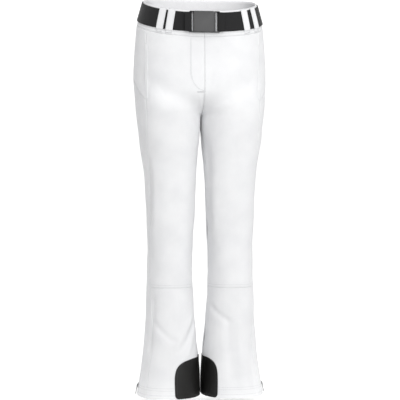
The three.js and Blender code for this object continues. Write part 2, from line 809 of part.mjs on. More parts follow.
const tray = solidOf( block( - slotInner - 1, mouth, - housingFront, housingBack, - halfBuckle, halfBuckle ) );
const cavity = solidOf( block( - slotInner + 2, mouth + 1, - 20, cavityBack, - cavityHalf, cavityHalf ) );
const windows = [ - 1, 1 ].map( ( way ) => solidOf( block( windowStart, windowEnd, - 20, cavityBack,
	Math.min( way * ( cavityHalf - 1 ), way * ( halfBuckle + 1 ) ),
	Math.max( way * ( cavityHalf - 1 ), way * ( halfBuckle + 1 ) ) ) ) );
const leftEnd = barEnd( slotInner - 1 ).mirror( [ 1, 0, 0 ] );
const housing = tray.add( leftEnd ).subtract( cavity ).subtract( windows[ 0 ] ).subtract( windows[ 1 ] );
add( 'buckle_housing', geometryOf( housing ), finishes.plastic, buckle );

const cover = roundedPlate( - slotInner, mouth, - housingFront - clearance - coverThickness,
	- housingFront - clearance, - halfBuckle, halfBuckle, 3 );
add( 'buckle_cover', cover, finishes.buckle, buckle );

const shoulderStart = mouth + clearance;
const base = block( armRoot + clearance, shoulderStart + 1, - armDepth / 2, armDepth / 2,
	- cavityHalf + clearance, cavityHalf - clearance );
const guide = roundedPlate( windowStart, armRoot + 2, - armDepth / 2, armDepth / 2, - 4, 4, 2 );
const tongue = barEnd( shoulderStart ).add( solidOf( base ) ).add( solidOf( guide ) );
add( 'buckle_tongue', geometryOf( tongue ), finishes.buckle, buckle );

// A sprung arm: a shaft from the tongue's base to the thumb pad that shows in the window.
function armGeometry( way ) {

	const padTop = cavityHalf - clearance;
	const shaftTop = padTop - padHeight;
	const shaft = block( windowStart + 1, armRoot, - armDepth / 2, armDepth / 2, shaftTop - armThickness, shaftTop );
	const pad = roundedPlate( windowStart + 1, windowEnd - 1, - armDepth / 2, armDepth / 2,
		shaftTop - armThickness, padTop, 1.5 );
	const arm = solidOf( shaft ).add( solidOf( pad ) );
	return geometryOf( way > 0 ? arm : arm.mirror( [ 0, 0, 1 ] ) );

}

add( 'buckle_arm_upper', armGeometry( 1 ), finishes.plastic, buckle );
add( 'buckle_arm_lower', armGeometry( - 1 ), finishes.plastic, buckle );

pants.position.z = - waistTop;

export default pants;
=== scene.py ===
# %% [markdown]
# # Flared ski pants
# The pants are softshell cloth cut in shaped panels, with a webbing belt, a side-release buckle,
# zips, scuff guards at the hems and snow gaiters inside them. Every soft piece here is laid on
# one curved garment surface, so the first cells build that surface, and later cells cut pieces
# out of it, sew them, and give each one its cloth.

# %% Load the frame
import math
import bpy
import numpy as np
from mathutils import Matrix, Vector


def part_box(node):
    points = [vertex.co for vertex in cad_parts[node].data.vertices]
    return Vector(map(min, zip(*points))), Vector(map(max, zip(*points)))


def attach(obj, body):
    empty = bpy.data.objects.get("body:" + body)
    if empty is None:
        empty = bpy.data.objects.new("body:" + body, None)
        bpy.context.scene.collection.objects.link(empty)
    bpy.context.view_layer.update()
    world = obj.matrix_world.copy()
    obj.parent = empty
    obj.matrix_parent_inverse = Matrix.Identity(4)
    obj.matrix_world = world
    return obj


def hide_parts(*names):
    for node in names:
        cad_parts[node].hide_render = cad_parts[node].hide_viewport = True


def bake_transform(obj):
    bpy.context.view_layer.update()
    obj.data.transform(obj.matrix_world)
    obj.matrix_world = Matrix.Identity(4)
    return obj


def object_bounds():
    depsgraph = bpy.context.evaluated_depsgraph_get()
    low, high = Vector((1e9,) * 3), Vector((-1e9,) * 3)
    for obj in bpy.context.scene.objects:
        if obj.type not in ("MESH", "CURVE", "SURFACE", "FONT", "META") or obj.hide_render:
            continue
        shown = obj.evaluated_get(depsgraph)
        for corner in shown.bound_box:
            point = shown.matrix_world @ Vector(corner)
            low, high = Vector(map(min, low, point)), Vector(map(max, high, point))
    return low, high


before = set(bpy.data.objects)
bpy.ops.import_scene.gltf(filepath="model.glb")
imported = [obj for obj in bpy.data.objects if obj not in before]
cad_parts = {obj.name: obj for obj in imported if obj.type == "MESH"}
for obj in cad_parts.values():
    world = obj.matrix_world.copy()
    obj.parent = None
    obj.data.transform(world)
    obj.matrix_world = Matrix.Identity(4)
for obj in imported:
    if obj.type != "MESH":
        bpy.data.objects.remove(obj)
cad_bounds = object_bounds()
bpy.ops.object.select_all(action="DESELECT")
print("CAD nodes:", len(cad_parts))

# %% [markdown]
# The camera stands 2.8 m away, at mid-thigh height, and a little to the wearer's right. A long
# distance keeps the outline close to its true proportions. The view transform is Standard, so a
# white cloth can be lit to just under white.

# %% Camera
CAMERA_DISTANCE = 2.8
CAMERA_TURN = math.radians(-6.5)
CAMERA_HEIGHT = -0.529
PICTURE_HEIGHT = 1.088

camera_data = bpy.data.cameras.new("camera")
camera_data.sensor_fit = "VERTICAL"
camera_data.angle = 2 * math.atan(PICTURE_HEIGHT / 2 / CAMERA_DISTANCE)
camera = bpy.data.objects.new("camera", camera_data)
camera.location = (
    CAMERA_DISTANCE * math.sin(CAMERA_TURN),
    -CAMERA_DISTANCE * math.cos(CAMERA_TURN),
    CAMERA_HEIGHT,
)
camera.rotation_euler = (math.radians(90), 0, CAMERA_TURN)
bpy.context.collection.objects.link(camera)
bpy.context.scene.camera = camera
bpy.context.scene.view_settings.view_transform = "Standard"

# %% [markdown]
# ## The garment surface
# Below the crotch each leg is a rounded tube. Above it the groove between the legs fills up from
# the middle, and the two tubes become one hip and waist tube. A place on the surface is a level,
# measured up the cloth from the hem, and an angle: 0 at the inseam or centre front, half a turn
# at the side seam, a full turn at the inseam or centre back. The widths come from the CAD panels.

# %% Sizes of the garment
FLARE_TOP, KNEE_SEAM, CROTCH = 0.280, 0.290, 0.750
HIP_LINE, YOKE_SEAM, WAIST_SEAM, WAIST_TOP = 0.880, 0.915, 0.986, 1.053
WAIST_TILT = 0.33
FRONT_RISE, BACK_RISE, LEG_TO_HIP = 0.070, 0.130, 0.110
ROUNDNESS, GROOVE_SOFTNESS = 0.86, 3
FULL, SIDE = 2 * math.pi, math.pi

HIP_OUTER = 0.1795
HEM_OUTER, FLARE_OUTER, KNEE_OUTER = HIP_OUTER - 0.0085, HIP_OUTER - 0.034, HIP_OUTER - 0.0365
THIGH_OUTER, WAIST_OUTER = HIP_OUTER - 0.0225, HIP_OUTER - 0.0265
HEM_INNER, KNEE_INNER, CROTCH_INNER = 0.0025, 0.0218, 0.0004
SIDE_RISE, WAIST_DEPTH = 0.009, 0.100


def flare(level):
    return FLARE_OUTER + (HEM_OUTER - FLARE_OUTER) * (1 - level / FLARE_TOP) ** 2


# level, inner side, outer side, front, back
OUTLINE = np.array([
    (0, HEM_INNER, flare(0), -0.092, 0.092),
    (0.25 * FLARE_TOP, HEM_INNER + 0.001, flare(0.25 * FLARE_TOP), -0.086, 0.088),
    (0.5 * FLARE_TOP, 0.010, flare(0.5 * FLARE_TOP), -0.080, 0.084),
    (0.75 * FLARE_TOP, 0.0167, flare(0.75 * FLARE_TOP), -0.076, 0.080),
    (FLARE_TOP, KNEE_INNER - 0.0008, FLARE_OUTER, -0.073, 0.077),
    (FLARE_TOP + 0.070, KNEE_INNER, KNEE_OUTER, -0.071, 0.074),
    (CROTCH - 0.320, KNEE_INNER - 0.0023, KNEE_OUTER, -0.073, 0.073),
    (CROTCH - 0.250, 0.016, THIGH_OUTER - 0.0105, -0.077, 0.075),
    (CROTCH - 0.180, 0.013, THIGH_OUTER - 0.0072, -0.081, 0.078),
    (CROTCH - 0.120, 0.009, THIGH_OUTER, -0.088, 0.084),
    (CROTCH - 0.060, 0.0035, HIP_OUTER - 0.0135, -0.097, 0.093),
    (CROTCH, CROTCH_INNER, HIP_OUTER - 0.0075, -0.105, 0.105),
    (CROTCH + 0.050, CROTCH_INNER, HIP_OUTER - 0.0025, -0.1095, 0.116),
    (CROTCH + 0.100, CROTCH_INNER, HIP_OUTER, -0.1074, 0.121),
    (CROTCH + 0.150, CROTCH_INNER, HIP_OUTER - 0.0005, -0.104, 0.119),
    (CROTCH + 0.200, CROTCH_INNER, HIP_OUTER - 0.0047, -0.102, 0.112),
    (WAIST_SEAM, CROTCH_INNER, WAIST_OUTER + 0.018, -0.100, 0.1055),
    (WAIST_TOP, CROTCH_INNER, WAIST_OUTER, -0.0995, 0.099),
])

# level, angle of the seam between the front and side panels, in degrees
FRONT_SEAM = np.array([
    (0, 138), (0.25 * FLARE_TOP, 140), (0.5 * FLARE_TOP, 136), (0.75 * FLARE_TOP, 141),
    (FLARE_TOP, 149.5), (FLARE_TOP + 0.070, 156), (CROTCH - 0.320, 158), (CROTCH - 0.250, 154),
    (CROTCH - 0.180, 153), (CROTCH - 0.120, 146), (CROTCH - 0.060, 139), (CROTCH, 135),
    (CROTCH + 0.020, 134), (CROTCH + 0.050, 124.5), (CROTCH + 0.075, 116), (CROTCH + 0.100, 110),
    (CROTCH + 0.150, 109), (CROTCH + 0.200, 114), (WAIST_SEAM, 119.5),
])

# %% [markdown]
# A smooth curve runs through the rows of each table. The surface function then takes whole
# arrays of levels and angles, so a piece with thousands of points is made in one go.

# %% Surface functions
def curve_through(rows):
    at, values = rows[:, 0], rows[:, 1:]
    span = np.diff(at)
    rise = np.diff(values, axis=0) / span[:, None]
    weighed = rise[1:] * span[:-1, None] + rise[:-1] * span[1:, None]
    middle = weighed / (span[1:] + span[:-1])[:, None]
    slope = np.vstack([rise[:1], middle, rise[-1:]])

    def curve(level):
        level = np.asarray(level, float)
        i = np.clip(np.searchsorted(at, level, side="right") - 1, 0, len(at) - 2)
        t = np.clip((level - at[i]) / span[i], 0, 1)[..., None]
        start = (1 + 2 * t) * (1 - t) ** 2 * values[i]
        end = t * t * (3 - 2 * t) * values[i + 1]
        bend = t * (1 - t) * span[i][..., None] * ((1 - t) * slope[i] - t * slope[i + 1])
        return start + end + bend

    return curve


def smooth(value, low, high):
    t = np.clip((np.asarray(value, float) - low) / (high - low), 0, 1)
    return t * t * (3 - 2 * t)


def rounded(value):
    return np.sign(value) * np.abs(value) ** ROUNDNESS


def openness(level, height):
    return np.sqrt(1 - (1 - np.clip((level - CROTCH) / height, 0, 1)) ** 2)


outline_at = curve_through(OUTLINE)
front_seam_degrees = curve_through(FRONT_SEAM)


def front_seam(level):
    return np.radians(front_seam_degrees(level)[..., 0])


def skin(level, angle):
    """Points of the left half's outer face, with the waist opening's middle as the origin."""
    level, angle = np.broadcast_arrays(np.asarray(level, float), np.asarray(angle, float))
    inner, outer, front, back = np.moveaxis(outline_at(level), -1, 0)
    middle, depth = (front + back) / 2, (back - front) / 2
    joined = level >= CROTCH
    leg_x = (inner + outer) / 2 - (outer - inner) / 2 * rounded(np.cos(angle))
    at_front = np.where(joined, angle < SIDE, np.sin(angle) > 0)
    crown = np.abs(rounded(np.sin(angle))) ** GROOVE_SOFTNESS
    opened = np.where(at_front, openness(level, FRONT_RISE), openness(level, BACK_RISE))
    fill = np.where(np.cos(angle) > 0, opened ** GROOVE_SOFTNESS, 0)
    reach = (crown + fill - crown * fill) ** (1 / GROOVE_SOFTNESS)
    leg_y = middle - np.where(at_front, 1, -1) * depth * reach
    hip_x = outer * rounded(np.sin(angle / 2))
    hip_y = middle - depth * rounded(np.cos(angle / 2))
    as_hip = smooth(level, CROTCH, CROTCH + LEG_TO_HIP)
    leg_x = np.where(joined & (angle < 0), -leg_x, leg_x)
    x = leg_x + (hip_x - leg_x) * as_hip
    y = leg_y + (hip_y - leg_y) * as_hip
    rise = WAIST_TILT * y + SIDE_RISE * (1 - (y / WAIST_DEPTH) ** 2)
    z = level + rise * smooth(level, HIP_LINE, WAIST_SEAM) - WAIST_TOP
    return np.stack([x, y, z], axis=-1)


def outward(level, angle):
    across = skin(level, angle + 0.01) - skin(level, angle - 0.01)
    up = skin(level + 0.0005, angle) - skin(level - 0.0005, angle)
    normal = np.cross(across, up)
    return normal / np.linalg.norm(normal, axis=-1, keepdims=True)


def walk(level, angle, distance):
    """The angles reached by walking a distance round the surface from each start."""
    level, angle, distance = np.broadcast_arrays(
        *(np.atleast_1d(np.asarray(v, float)) for v in (level, angle, distance)))
    span = np.abs(distance) / 0.03 + 0.02
    steps = angle[:, None] + np.sign(distance)[:, None] * span[:, None] * np.linspace(0, 1, 160)
    gaps = np.linalg.norm(np.diff(skin(level[:, None], steps), axis=1), axis=-1)
    gone = np.concatenate([np.zeros((len(level), 1)), np.cumsum(gaps, axis=1)], axis=1)
    return np.array([np.interp(abs(d), g, s) for d, g, s in zip(distance, gone, steps)])


def beside(line, distance):
    """The angles at a distance round from a line, as a function of the level."""
    def angles(level):
        start = line(level) if callable(line) else line
        return walk(level, start, distance(level) if callable(distance) else distance)

    return angles


def across_waist(level, x):
    """The angle at which the waist tube is a distance x to the side."""
    return 2 * np.arcsin((x / outline_at(level)[..., 1]) ** (1 / ROUNDNESS))

# %% [markdown]
# ## How the cloth falls
# A stretch softshell lies smooth over the body and folds only where it has spare width: at the
# crotch, behind the knee, and above the flared hem where the leg stacks up. Each fold is a long
# soft ridge or hollow between two places, drawn as a bell-shaped bump. Slow waves go under them.

# %% Folds
BAG_FRONT_LEVEL, BAG_SIDE_LEVEL = CROTCH + 0.035, CROTCH + 0.106
METRES_PER_DEGREE = 0.00125


def bag_level(level, turn):
    """The height of the pocket bag's slanting seam at a turn, and whether the turn is on it."""
    start = front_seam_degrees(level)[..., 0]
    share = (turn - start) / (180 - start)
    return BAG_FRONT_LEVEL + (BAG_SIDE_LEVEL - BAG_FRONT_LEVEL) * share, (share > 0) & (share < 1)


def bag_ridge(level, turn):
    line, on = bag_level(level, turn)
    return np.where(on, 0.0011 * np.exp(-((level - line) / 0.0026) ** 2), 0.0)


def fold(level, angle, side):
    """How far the cloth stands out from the garment surface, in metres."""
    level, angle = np.broadcast_arrays(np.asarray(level, float), np.asarray(angle, float))
    out = np.zeros_like(level)
    turn = np.degrees(angle) % 360
    for who, low, low_turn, high, high_turn, width, height in FOLDS:
        if who not in (side, 0):
            continue
        along = np.array([high - low, (high_turn - low_turn) * METRES_PER_DEGREE])
        length = np.hypot(*along)
        along = along / length
        here_level = level - low
        here_turn = ((turn - low_turn + 180) % 360 - 180) * METRES_PER_DEGREE
        reach = here_level * along[0] + here_turn * along[1]
        away = -here_level * along[1] + here_turn * along[0]
        past = np.maximum(0, np.maximum(-reach, reach - length))
        out += height * np.exp(-(away / width) ** 2 - (past / (1.6 * width)) ** 2)
    out += bag_ridge(level, turn)
    waves = 0.0010 * np.sin(level * 23 + turn * 0.035 + side) * np.sin(turn * 0.026 + 1.7 * side)
    waves += 0.0006 * np.sin(level * 61 - turn * 0.06 + 2 * side)
    out += waves * smooth(level, 0.0, 0.12) * (1 - smooth(level, 0.86, 0.93))
    # the zips keep the cloth flat: at the hem's side, at the centre seam and along the pocket
    beside_hem_zip = 1 - smooth(level, 0.27, 0.31)
    above_crotch = smooth(level, CROTCH - 0.02, CROTCH + 0.01)
    along_pocket = smooth(level, CROTCH + 0.02, CROTCH + 0.04)
    along_pocket *= 1 - smooth(level, CROTCH + 0.2, CROTCH + 0.22)
    from_pocket = np.abs(turn - front_seam_degrees(level)[..., 0])
    for away, near, far, here in ((np.abs(turn - 180), 5, 16, beside_hem_zip),
                                  (np.minimum(turn, 360 - turn), 4, 14, above_crotch),
                                  (from_pocket, 3, 10, along_pocket)):
        out *= 1 - (1 - smooth(away, near, far)) * here
    return out * (1 - smooth(level, 0.93, 0.97))


# side (1 left, -1 right, 0 both), low level and degrees, high level and degrees, width, height
FOLDS = [
    (-1, 0.47, 150, 0.62, 146, 0.012, -0.0045),
    (-1, 0.44, 138, 0.60, 132, 0.016, 0.0028),
    (-1, 0.19, 36, 0.13, 74, 0.008, -0.0028),
    (-1, 0.205, 44, 0.145, 82, 0.009, 0.0022),
    (-1, 0.175, 32, 0.115, 60, 0.008, 0.0018),
    (-1, 0.195, 128, 0.155, 92, 0.008, -0.0026),
    (-1, 0.13, 142, 0.25, 136, 0.009, -0.0030),
    (1, 0.235, 36, 0.205, 76, 0.009, -0.0028),
    (1, 0.05, 88, 0.195, 80, 0.010, -0.0028),
    (1, 0.06, 106, 0.19, 99, 0.012, 0.0022),
    (1, 0.03, 126, 0.15, 131, 0.010, -0.0024),
    (1, 0.44, 20, 0.66, 28, 0.016, -0.0026),
    (1, 0.47, 44, 0.63, 50, 0.016, 0.0018),
    (1, 0.715, 30, 0.755, 72, 0.010, -0.0012),
    (1, 0.735, 24, 0.775, 66, 0.010, 0.0010),
    (-1, 0.715, 30, 0.745, 64, 0.010, -0.0006),
    (0, 0.33, 250, 0.35, 320, 0.012, -0.0030),
    (0, 0.36, 235, 0.375, 315, 0.011, 0.0026),
    (0, 0.39, 245, 0.41, 310, 0.012, -0.0022),
    (0, 0.20, 230, 0.225, 310, 0.013, -0.0024),
    (0, 0.14, 235, 0.165, 305, 0.012, 0.0022),
    (0, 0.70, 330, 0.735, 262, 0.012, -0.0034),
    (0, 0.672, 326, 0.70, 258, 0.012, 0.0026),
    (0, 0.735, 318, 0.775, 250, 0.013, 0.0026),
]


def cloth(side, level, angle, lift=0.0):
    """Points on the draped cloth, lifted outwards, on the wearer's left (1) or right (-1)."""
    level, angle = np.broadcast_arrays(np.asarray(level, float), np.asarray(angle, float))
    normal = outward(level, angle)
    points = skin(level, angle) + normal * (fold(level, angle, side) + lift)[..., None]
    return points * (side, 1, 1), normal * (side, 1, 1)

# %% [markdown]
# ## Cloth finishes
# The softshell is a matte white twill. Its fine diagonal rib is about a millimetre apart, so it
# shows in a close view and turns into an even surface from afar. The pattern follows each
# piece's own UV map, which is in metres along and across the cloth.

# %% Material helpers
def new_material(name):
    material = bpy.data.materials.new(name)
    material.use_nodes = True
    return material, material.node_tree, material.node_tree.nodes["Principled BSDF"]


def colour_ramp(tree, factor, stops):
    ramp = tree.nodes.new("ShaderNodeValToRGB")
    while len(ramp.color_ramp.elements) < len(stops):
        ramp.color_ramp.elements.new(0.5)
    for element, (place, colour) in zip(ramp.color_ramp.elements, stops):
        element.position = place
        element.color = (*colour, 1)
    tree.links.new(factor, ramp.inputs["Fac"])
    return ramp.outputs["Color"]


def noise(tree, vector, scale, detail=3.0, roughness=0.55):
    texture = tree.nodes.new("ShaderNodeTexNoise")
    texture.inputs["Scale"].default_value = scale
    texture.inputs["Detail"].default_value = detail
    texture.inputs["Roughness"].default_value = roughness
    tree.links.new(vector, texture.inputs["Vector"])
    return texture.outputs["Fac"]


def wave(tree, vector, scale, turn=0.0, distortion=0.0):
    """Bands across X; scale is how many bands there are in 0.31 of a unit."""
    mapping = tree.nodes.new("ShaderNodeMapping")
    mapping.inputs["Rotation"].default_value = (0, 0, turn)
    tree.links.new(vector, mapping.inputs["Vector"])
    texture = tree.nodes.new("ShaderNodeTexWave")
    texture.inputs["Scale"].default_value = scale
    texture.inputs["Distortion"].default_value = distortion
    tree.links.new(mapping.outputs["Vector"], texture.inputs["Vector"])
    return texture.outputs["Fac"]


def maths(tree, kind, a, b):
    node = tree.nodes.new("ShaderNodeMath")
    node.operation = kind
    for socket, value in zip(node.inputs, (a, b)):
        if isinstance(value, (int, float)):
            socket.default_value = value
        else:
            tree.links.new(value, socket)
    return node.outputs[0]


def scaled(tree, value, factor, plus):
    """A value times a factor, plus a number or another value."""
    return maths(tree, "ADD", maths(tree, "MULTIPLY", value, factor), plus)


def blended(tree, first, share, second):
    """A share of the first value, and the rest from the second."""
    rest = maths(tree, "MULTIPLY", second, 1 - share)
    return scaled(tree, first, share, rest)


def bump(tree, shader, height, strength, distance):
    node = tree.nodes.new("ShaderNodeBump")
    node.inputs["Strength"].default_value = strength
    node.inputs["Distance"].default_value = distance
    tree.links.new(height, node.inputs["Height"])
    tree.links.new(node.outputs["Normal"], shader.inputs["Normal"])


def coordinates(tree, kind):
    return tree.nodes.new("ShaderNodeTexCoord").outputs[kind]


def bands_per_metre(count):
    """The wave scale that gives this many bands in a metre."""
    return count * math.pi / 10


def cloth_material(name, dark, light, ribs, turn, roughness, sheen, strength=0.5, blotch=18):
    """A woven cloth: two crossed sets of fine ribs, an uneven tone and a soft sheen."""
    material, tree, shader = new_material(name)
    uv = coordinates(tree, "UV")
    place = coordinates(tree, "Object")
    twill = wave(tree, uv, bands_per_metre(ribs), turn)
    weft = wave(tree, uv, bands_per_metre(ribs * 1.7), turn + math.radians(72))
    weave = blended(tree, twill, 0.7, weft)
    uneven = noise(tree, place, blotch, 4)
    tone = blended(tree, weave, 0.35, uneven)
    colour = colour_ramp(tree, tone, [(0.25, dark), (0.7, light)])
    tree.links.new(colour, shader.inputs["Base Color"])
    worn = scaled(tree, uneven, 0.16, roughness - 0.08)
    tree.links.new(worn, shader.inputs["Roughness"])
    shader.inputs["Sheen Weight"].default_value = sheen
    shader.inputs["Sheen Roughness"].default_value = 0.45
    shader.inputs["Specular IOR Level"].default_value = 0.3
    bump(tree, shader, weave, strength, 0.0002)
    return material


softshell = cloth_material("white_softshell", (0.80, 0.805, 0.82), (0.90, 0.903, 0.91),
                           900, math.radians(63), 0.82, 0.12)
facing_cloth = cloth_material("white_facing", (0.70, 0.705, 0.72), (0.80, 0.80, 0.81),
                              700, 0.0, 0.88, 0.1)
lining_cloth = cloth_material("grey_lining", (0.76, 0.76, 0.775), (0.93, 0.93, 0.94),
                              600, math.radians(45), 0.9, 0.2)

# %% [markdown]
# ## Making a piece of cloth
# A panel is a fine grid between two levels and two angles. Close to each seam the cloth dips, as
# it turns under to the stitching, and a little further in it stands up over its own seam
# allowance. Solidify then gives the sheet its thickness, inwards, so the outer face stays put.

# %% Cloth helpers
CLOTH_STEP = 0.003
EDGE_ROWS = np.array([0.0005, 0.0011, 0.0018])


def spaced(length, step, edges=True):
    """Shares from 0 to 1 along a length, with extra rows beside both edges."""
    count = max(2, round(length / step))
    shares = np.linspace(0, 1, count + 1)
    if edges:
        close = EDGE_ROWS / length
        shares = np.unique(np.concatenate([shares, close, 1 - close]))
    return shares


def grid_object(name, points, u, v, material, thickness=0.0, offset=-1.0, flip=False):
    """A mesh from a grid of points, with a UV map in metres, made solid where asked."""
    rows, columns = points.shape[:2]
    index = np.arange(rows * columns).reshape(rows, columns)
    corners = [index[:-1, :-1], index[:-1, 1:], index[1:, 1:], index[1:, :-1]]
    if flip:
        corners.reverse()
    faces = np.stack(corners, axis=-1).reshape(-1, 4)
    mesh = bpy.data.meshes.new(name)
    mesh.vertices.add(rows * columns)
    mesh.vertices.foreach_set("co", points.reshape(-1).astype(np.float32))
    mesh.loops.add(faces.size)
    mesh.loops.foreach_set("vertex_index", faces.reshape(-1).astype(np.int32))
    mesh.polygons.add(len(faces))
    mesh.polygons.foreach_set("loop_start", np.arange(0, faces.size, 4, dtype=np.int32))
    mesh.update(calc_edges=True)
    layer = mesh.uv_layers.new(name="cloth")
    flat = np.stack([u.reshape(-1), v.reshape(-1)], axis=-1)[faces.reshape(-1)]
    layer.data.foreach_set("uv", flat.reshape(-1).astype(np.float32))
    piece = bpy.data.objects.new(name, mesh)
    bpy.context.collection.objects.link(piece)
    mesh.materials.append(material)
    mesh.polygons.foreach_set("use_smooth", np.ones(len(faces), bool))
    if thickness:
        solidify(piece, thickness, offset)
    return piece


def select_only(piece):
    bpy.ops.object.select_all(action="DESELECT")
    bpy.context.view_layer.objects.active = piece
    piece.select_set(True)


def edit_all(piece, *steps):
    """Runs operators in edit mode, with all of the piece selected."""
    select_only(piece)
    bpy.ops.object.mode_set(mode="EDIT")
    bpy.ops.mesh.select_all(action="SELECT")
    for operator, settings in steps:
        operator(**settings)
    bpy.ops.object.mode_set(mode="OBJECT")


def apply_modifier(piece, modifier):
    select_only(piece)
    bpy.ops.object.modifier_apply(modifier=modifier.name)
    piece.select_set(False)


def round_edges(piece, width, segments, sharper_than=30):
    """Bevels the edges that turn by more than an angle in degrees."""
    bevel = piece.modifiers.new("edges", "BEVEL")
    bevel.width, bevel.segments, bevel.limit_method = width, segments, "ANGLE"
    bevel.angle_limit = math.radians(sharper_than)
    apply_modifier(piece, bevel)


def solidify(piece, thickness, offset=-1.0):
    modifier = piece.modifiers.new("thickness", "SOLIDIFY")
    modifier.thickness = thickness
    modifier.offset = offset
    apply_modifier(piece, modifier)


def place(piece, slot, body="pants", stands_for=()):
    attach(piece, body)
    if stands_for:
        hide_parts(*stands_for)
    return piece


def seam_dip(distance, depth=0.0008, ridge=0.0004):
    dip = -depth * np.exp(-(distance / 0.0009) ** 2)
    return dip + ridge * np.exp(-((distance - 0.0042) / 0.0026) ** 2)


def cut_cloth(name, side, low, high, start, end, material, lift=0.0, thickness=0.0014,
              step=None, dips=(1, 1, 1, 1), edge_rows=True, offset=-1.0, profile=None):
    """One piece of cloth from level low to high, between the angles start and end."""
    step = step or CLOTH_STEP
    up = spaced(high - low, step, edge_rows)
    level = low + (high - low) * up
    first = np.broadcast_to(start(level) if callable(start) else start, level.shape)
    last = np.broadcast_to(end(level) if callable(end) else end, level.shape)
    probe = first[:, None] + (last - first)[:, None] * np.linspace(0, 1, 40)
    base = skin(level[:, None], probe)
    widths = np.linalg.norm(np.diff(base, axis=1), axis=-1).sum(axis=1)
    over = spaced(widths.max(), step, edge_rows)
    angle = first[:, None] + (last - first)[:, None] * over
    levels = np.broadcast_to(level[:, None], angle.shape)
    height = lift(levels, angle) if callable(lift) else np.full(angle.shape, lift)
    for on, distance in zip(dips, (
            over[None, :] * widths[:, None], (1 - over)[None, :] * widths[:, None],
            np.broadcast_to((level - low)[:, None], angle.shape),
            np.broadcast_to((high - level)[:, None], angle.shape))):
        if on:
            height = height + on * seam_dip(distance)
    if profile:
        height = height + profile(over)[None, :]
    points = cloth(side, levels, angle, height)[0]
    widths = np.linalg.norm(np.diff(points, axis=1), axis=-1).sum(axis=1)
    u = (over[None, :] - 0.5) * widths[:, None]
    piece = grid_object(name, points, u, levels, material, thickness, offset, flip=side < 0)
    lengths = np.linalg.norm(np.diff(points, axis=0), axis=-1).sum(axis=0)
    up_edge, side_edge = points[1:, :-1] - points[:-1, :-1], points[:-1, 1:] - points[:-1, :-1]
    area = np.linalg.norm(np.cross(up_edge, side_edge), axis=-1).sum()
    piece["cut_width"], piece["cut_length"] = float(widths.max()), float(lengths.max())
    piece["cut_area"] = float(area)
    return piece


def lay(name, side, low, high, start, end, material, slot, held, stands_for=(), rests_on=(),
        edge=None, edge_rows=False, **cut):
    """A piece of cloth with no seams of its own, cut and placed."""
    piece = cut_cloth(name, side, low, high, start, end, material, dips=(0, 0, 0, 0),
                      edge_rows=edge_rows, **cut)
    if edge:
        round_edges(piece, edge, 2)
    place(piece, slot, stands_for=stands_for)

# %% [markdown]
# ## The outer panels
# Each leg is four long panels: front and shin in front, a side panel between the shaped front
# seam and the side seam, and the back. A yoke joins the back to the waistband. The side seam is
# left open at the hem for its zip, so the two panels beside it end a few millimetres apart.

# %% Panels
HANDS = (("left", 1), ("right", -1))
SEAM = 0.00008
CHAIN_WIDTH, CHAIN_REVEAL = 0.0056, 0.001
HEM_ZIP_BOTTOM, HEM_ZIP_TOP = 0.014, 0.262


def slit(level):
    return np.where(level < HEM_ZIP_TOP + 0.001, CHAIN_WIDTH / 2 + CHAIN_REVEAL, SEAM)


from_inseam, to_inseam = beside(0.0, SEAM), beside(FULL, -SEAM)
to_front_seam = beside(front_seam, -SEAM)
PANELS = [
    ("shin_panel", 0.0, KNEE_SEAM - SEAM, from_inseam, to_front_seam, (1, 1, 0, 0.35)),
    ("front_panel", KNEE_SEAM + SEAM, WAIST_SEAM - SEAM, from_inseam, to_front_seam,
     (0.25, 1, 0.35, 1)),
    ("side_panel", 0.0, WAIST_SEAM - SEAM, beside(front_seam, SEAM),
     beside(SIDE, lambda level: -slit(level)), (1, 1, 0, 1)),
    ("back_panel", 0.0, YOKE_SEAM - SEAM, beside(SIDE, slit), to_inseam, (1, 1, 0, 1)),
    ("back_yoke", YOKE_SEAM + SEAM, WAIST_SEAM - SEAM, beside(SIDE, SEAM), to_inseam, (1, 1, 1, 1)),
    ("waistband", WAIST_SEAM + SEAM, WAIST_TOP, from_inseam, to_inseam, (1, 1, 1, 1)),
]
PANEL_THICK, WAISTBAND_THICK = 0.0014, 0.002
for hand, side in HANDS:
    for part, low, high, start, end, dips in PANELS:
        piece = cut_cloth(f"{part}_cloth_{hand}", side, low, high, start, end, softshell, dips=dips,
                          thickness=WAISTBAND_THICK if part == "waistband" else PANEL_THICK)
        place(piece, "softshell", stands_for=[f"{part}_{hand}"])

# %% [markdown]
# ## Topstitching
# Seams of a softshell are turned and stitched down with a thick thread that matches the white
# cloth; here the thread is coloured mid grey as painted shade for the stitch lines. Each stitch is
# a short bead that dives into the cloth at both ends. All the stitches of one group are one mesh,
# because thousands of separate objects would be slow to handle.

# %% Stitch helper
STITCH_PITCH, STITCH_LENGTH, THREAD_RADIUS = 0.0036, 0.0029, 0.00030


def path_samples(points, normals, distances):
    """Points, directions and normals at distances along a path."""
    gaps = np.linalg.norm(np.diff(points, axis=0), axis=1)
    gone = np.concatenate([[0], np.cumsum(gaps)])

    def sample(values, shift=0.0):
        return np.stack([np.interp(distances + shift, gone, values[:, k]) for k in range(3)], -1)

    at, up = sample(points), sample(normals)
    along = sample(points, 0.0008) - sample(points, -0.0008)
    along /= np.linalg.norm(along, axis=1, keepdims=True)
    up -= (up * along).sum(1, keepdims=True) * along
    up /= np.linalg.norm(up, axis=1, keepdims=True)
    return at, along, up


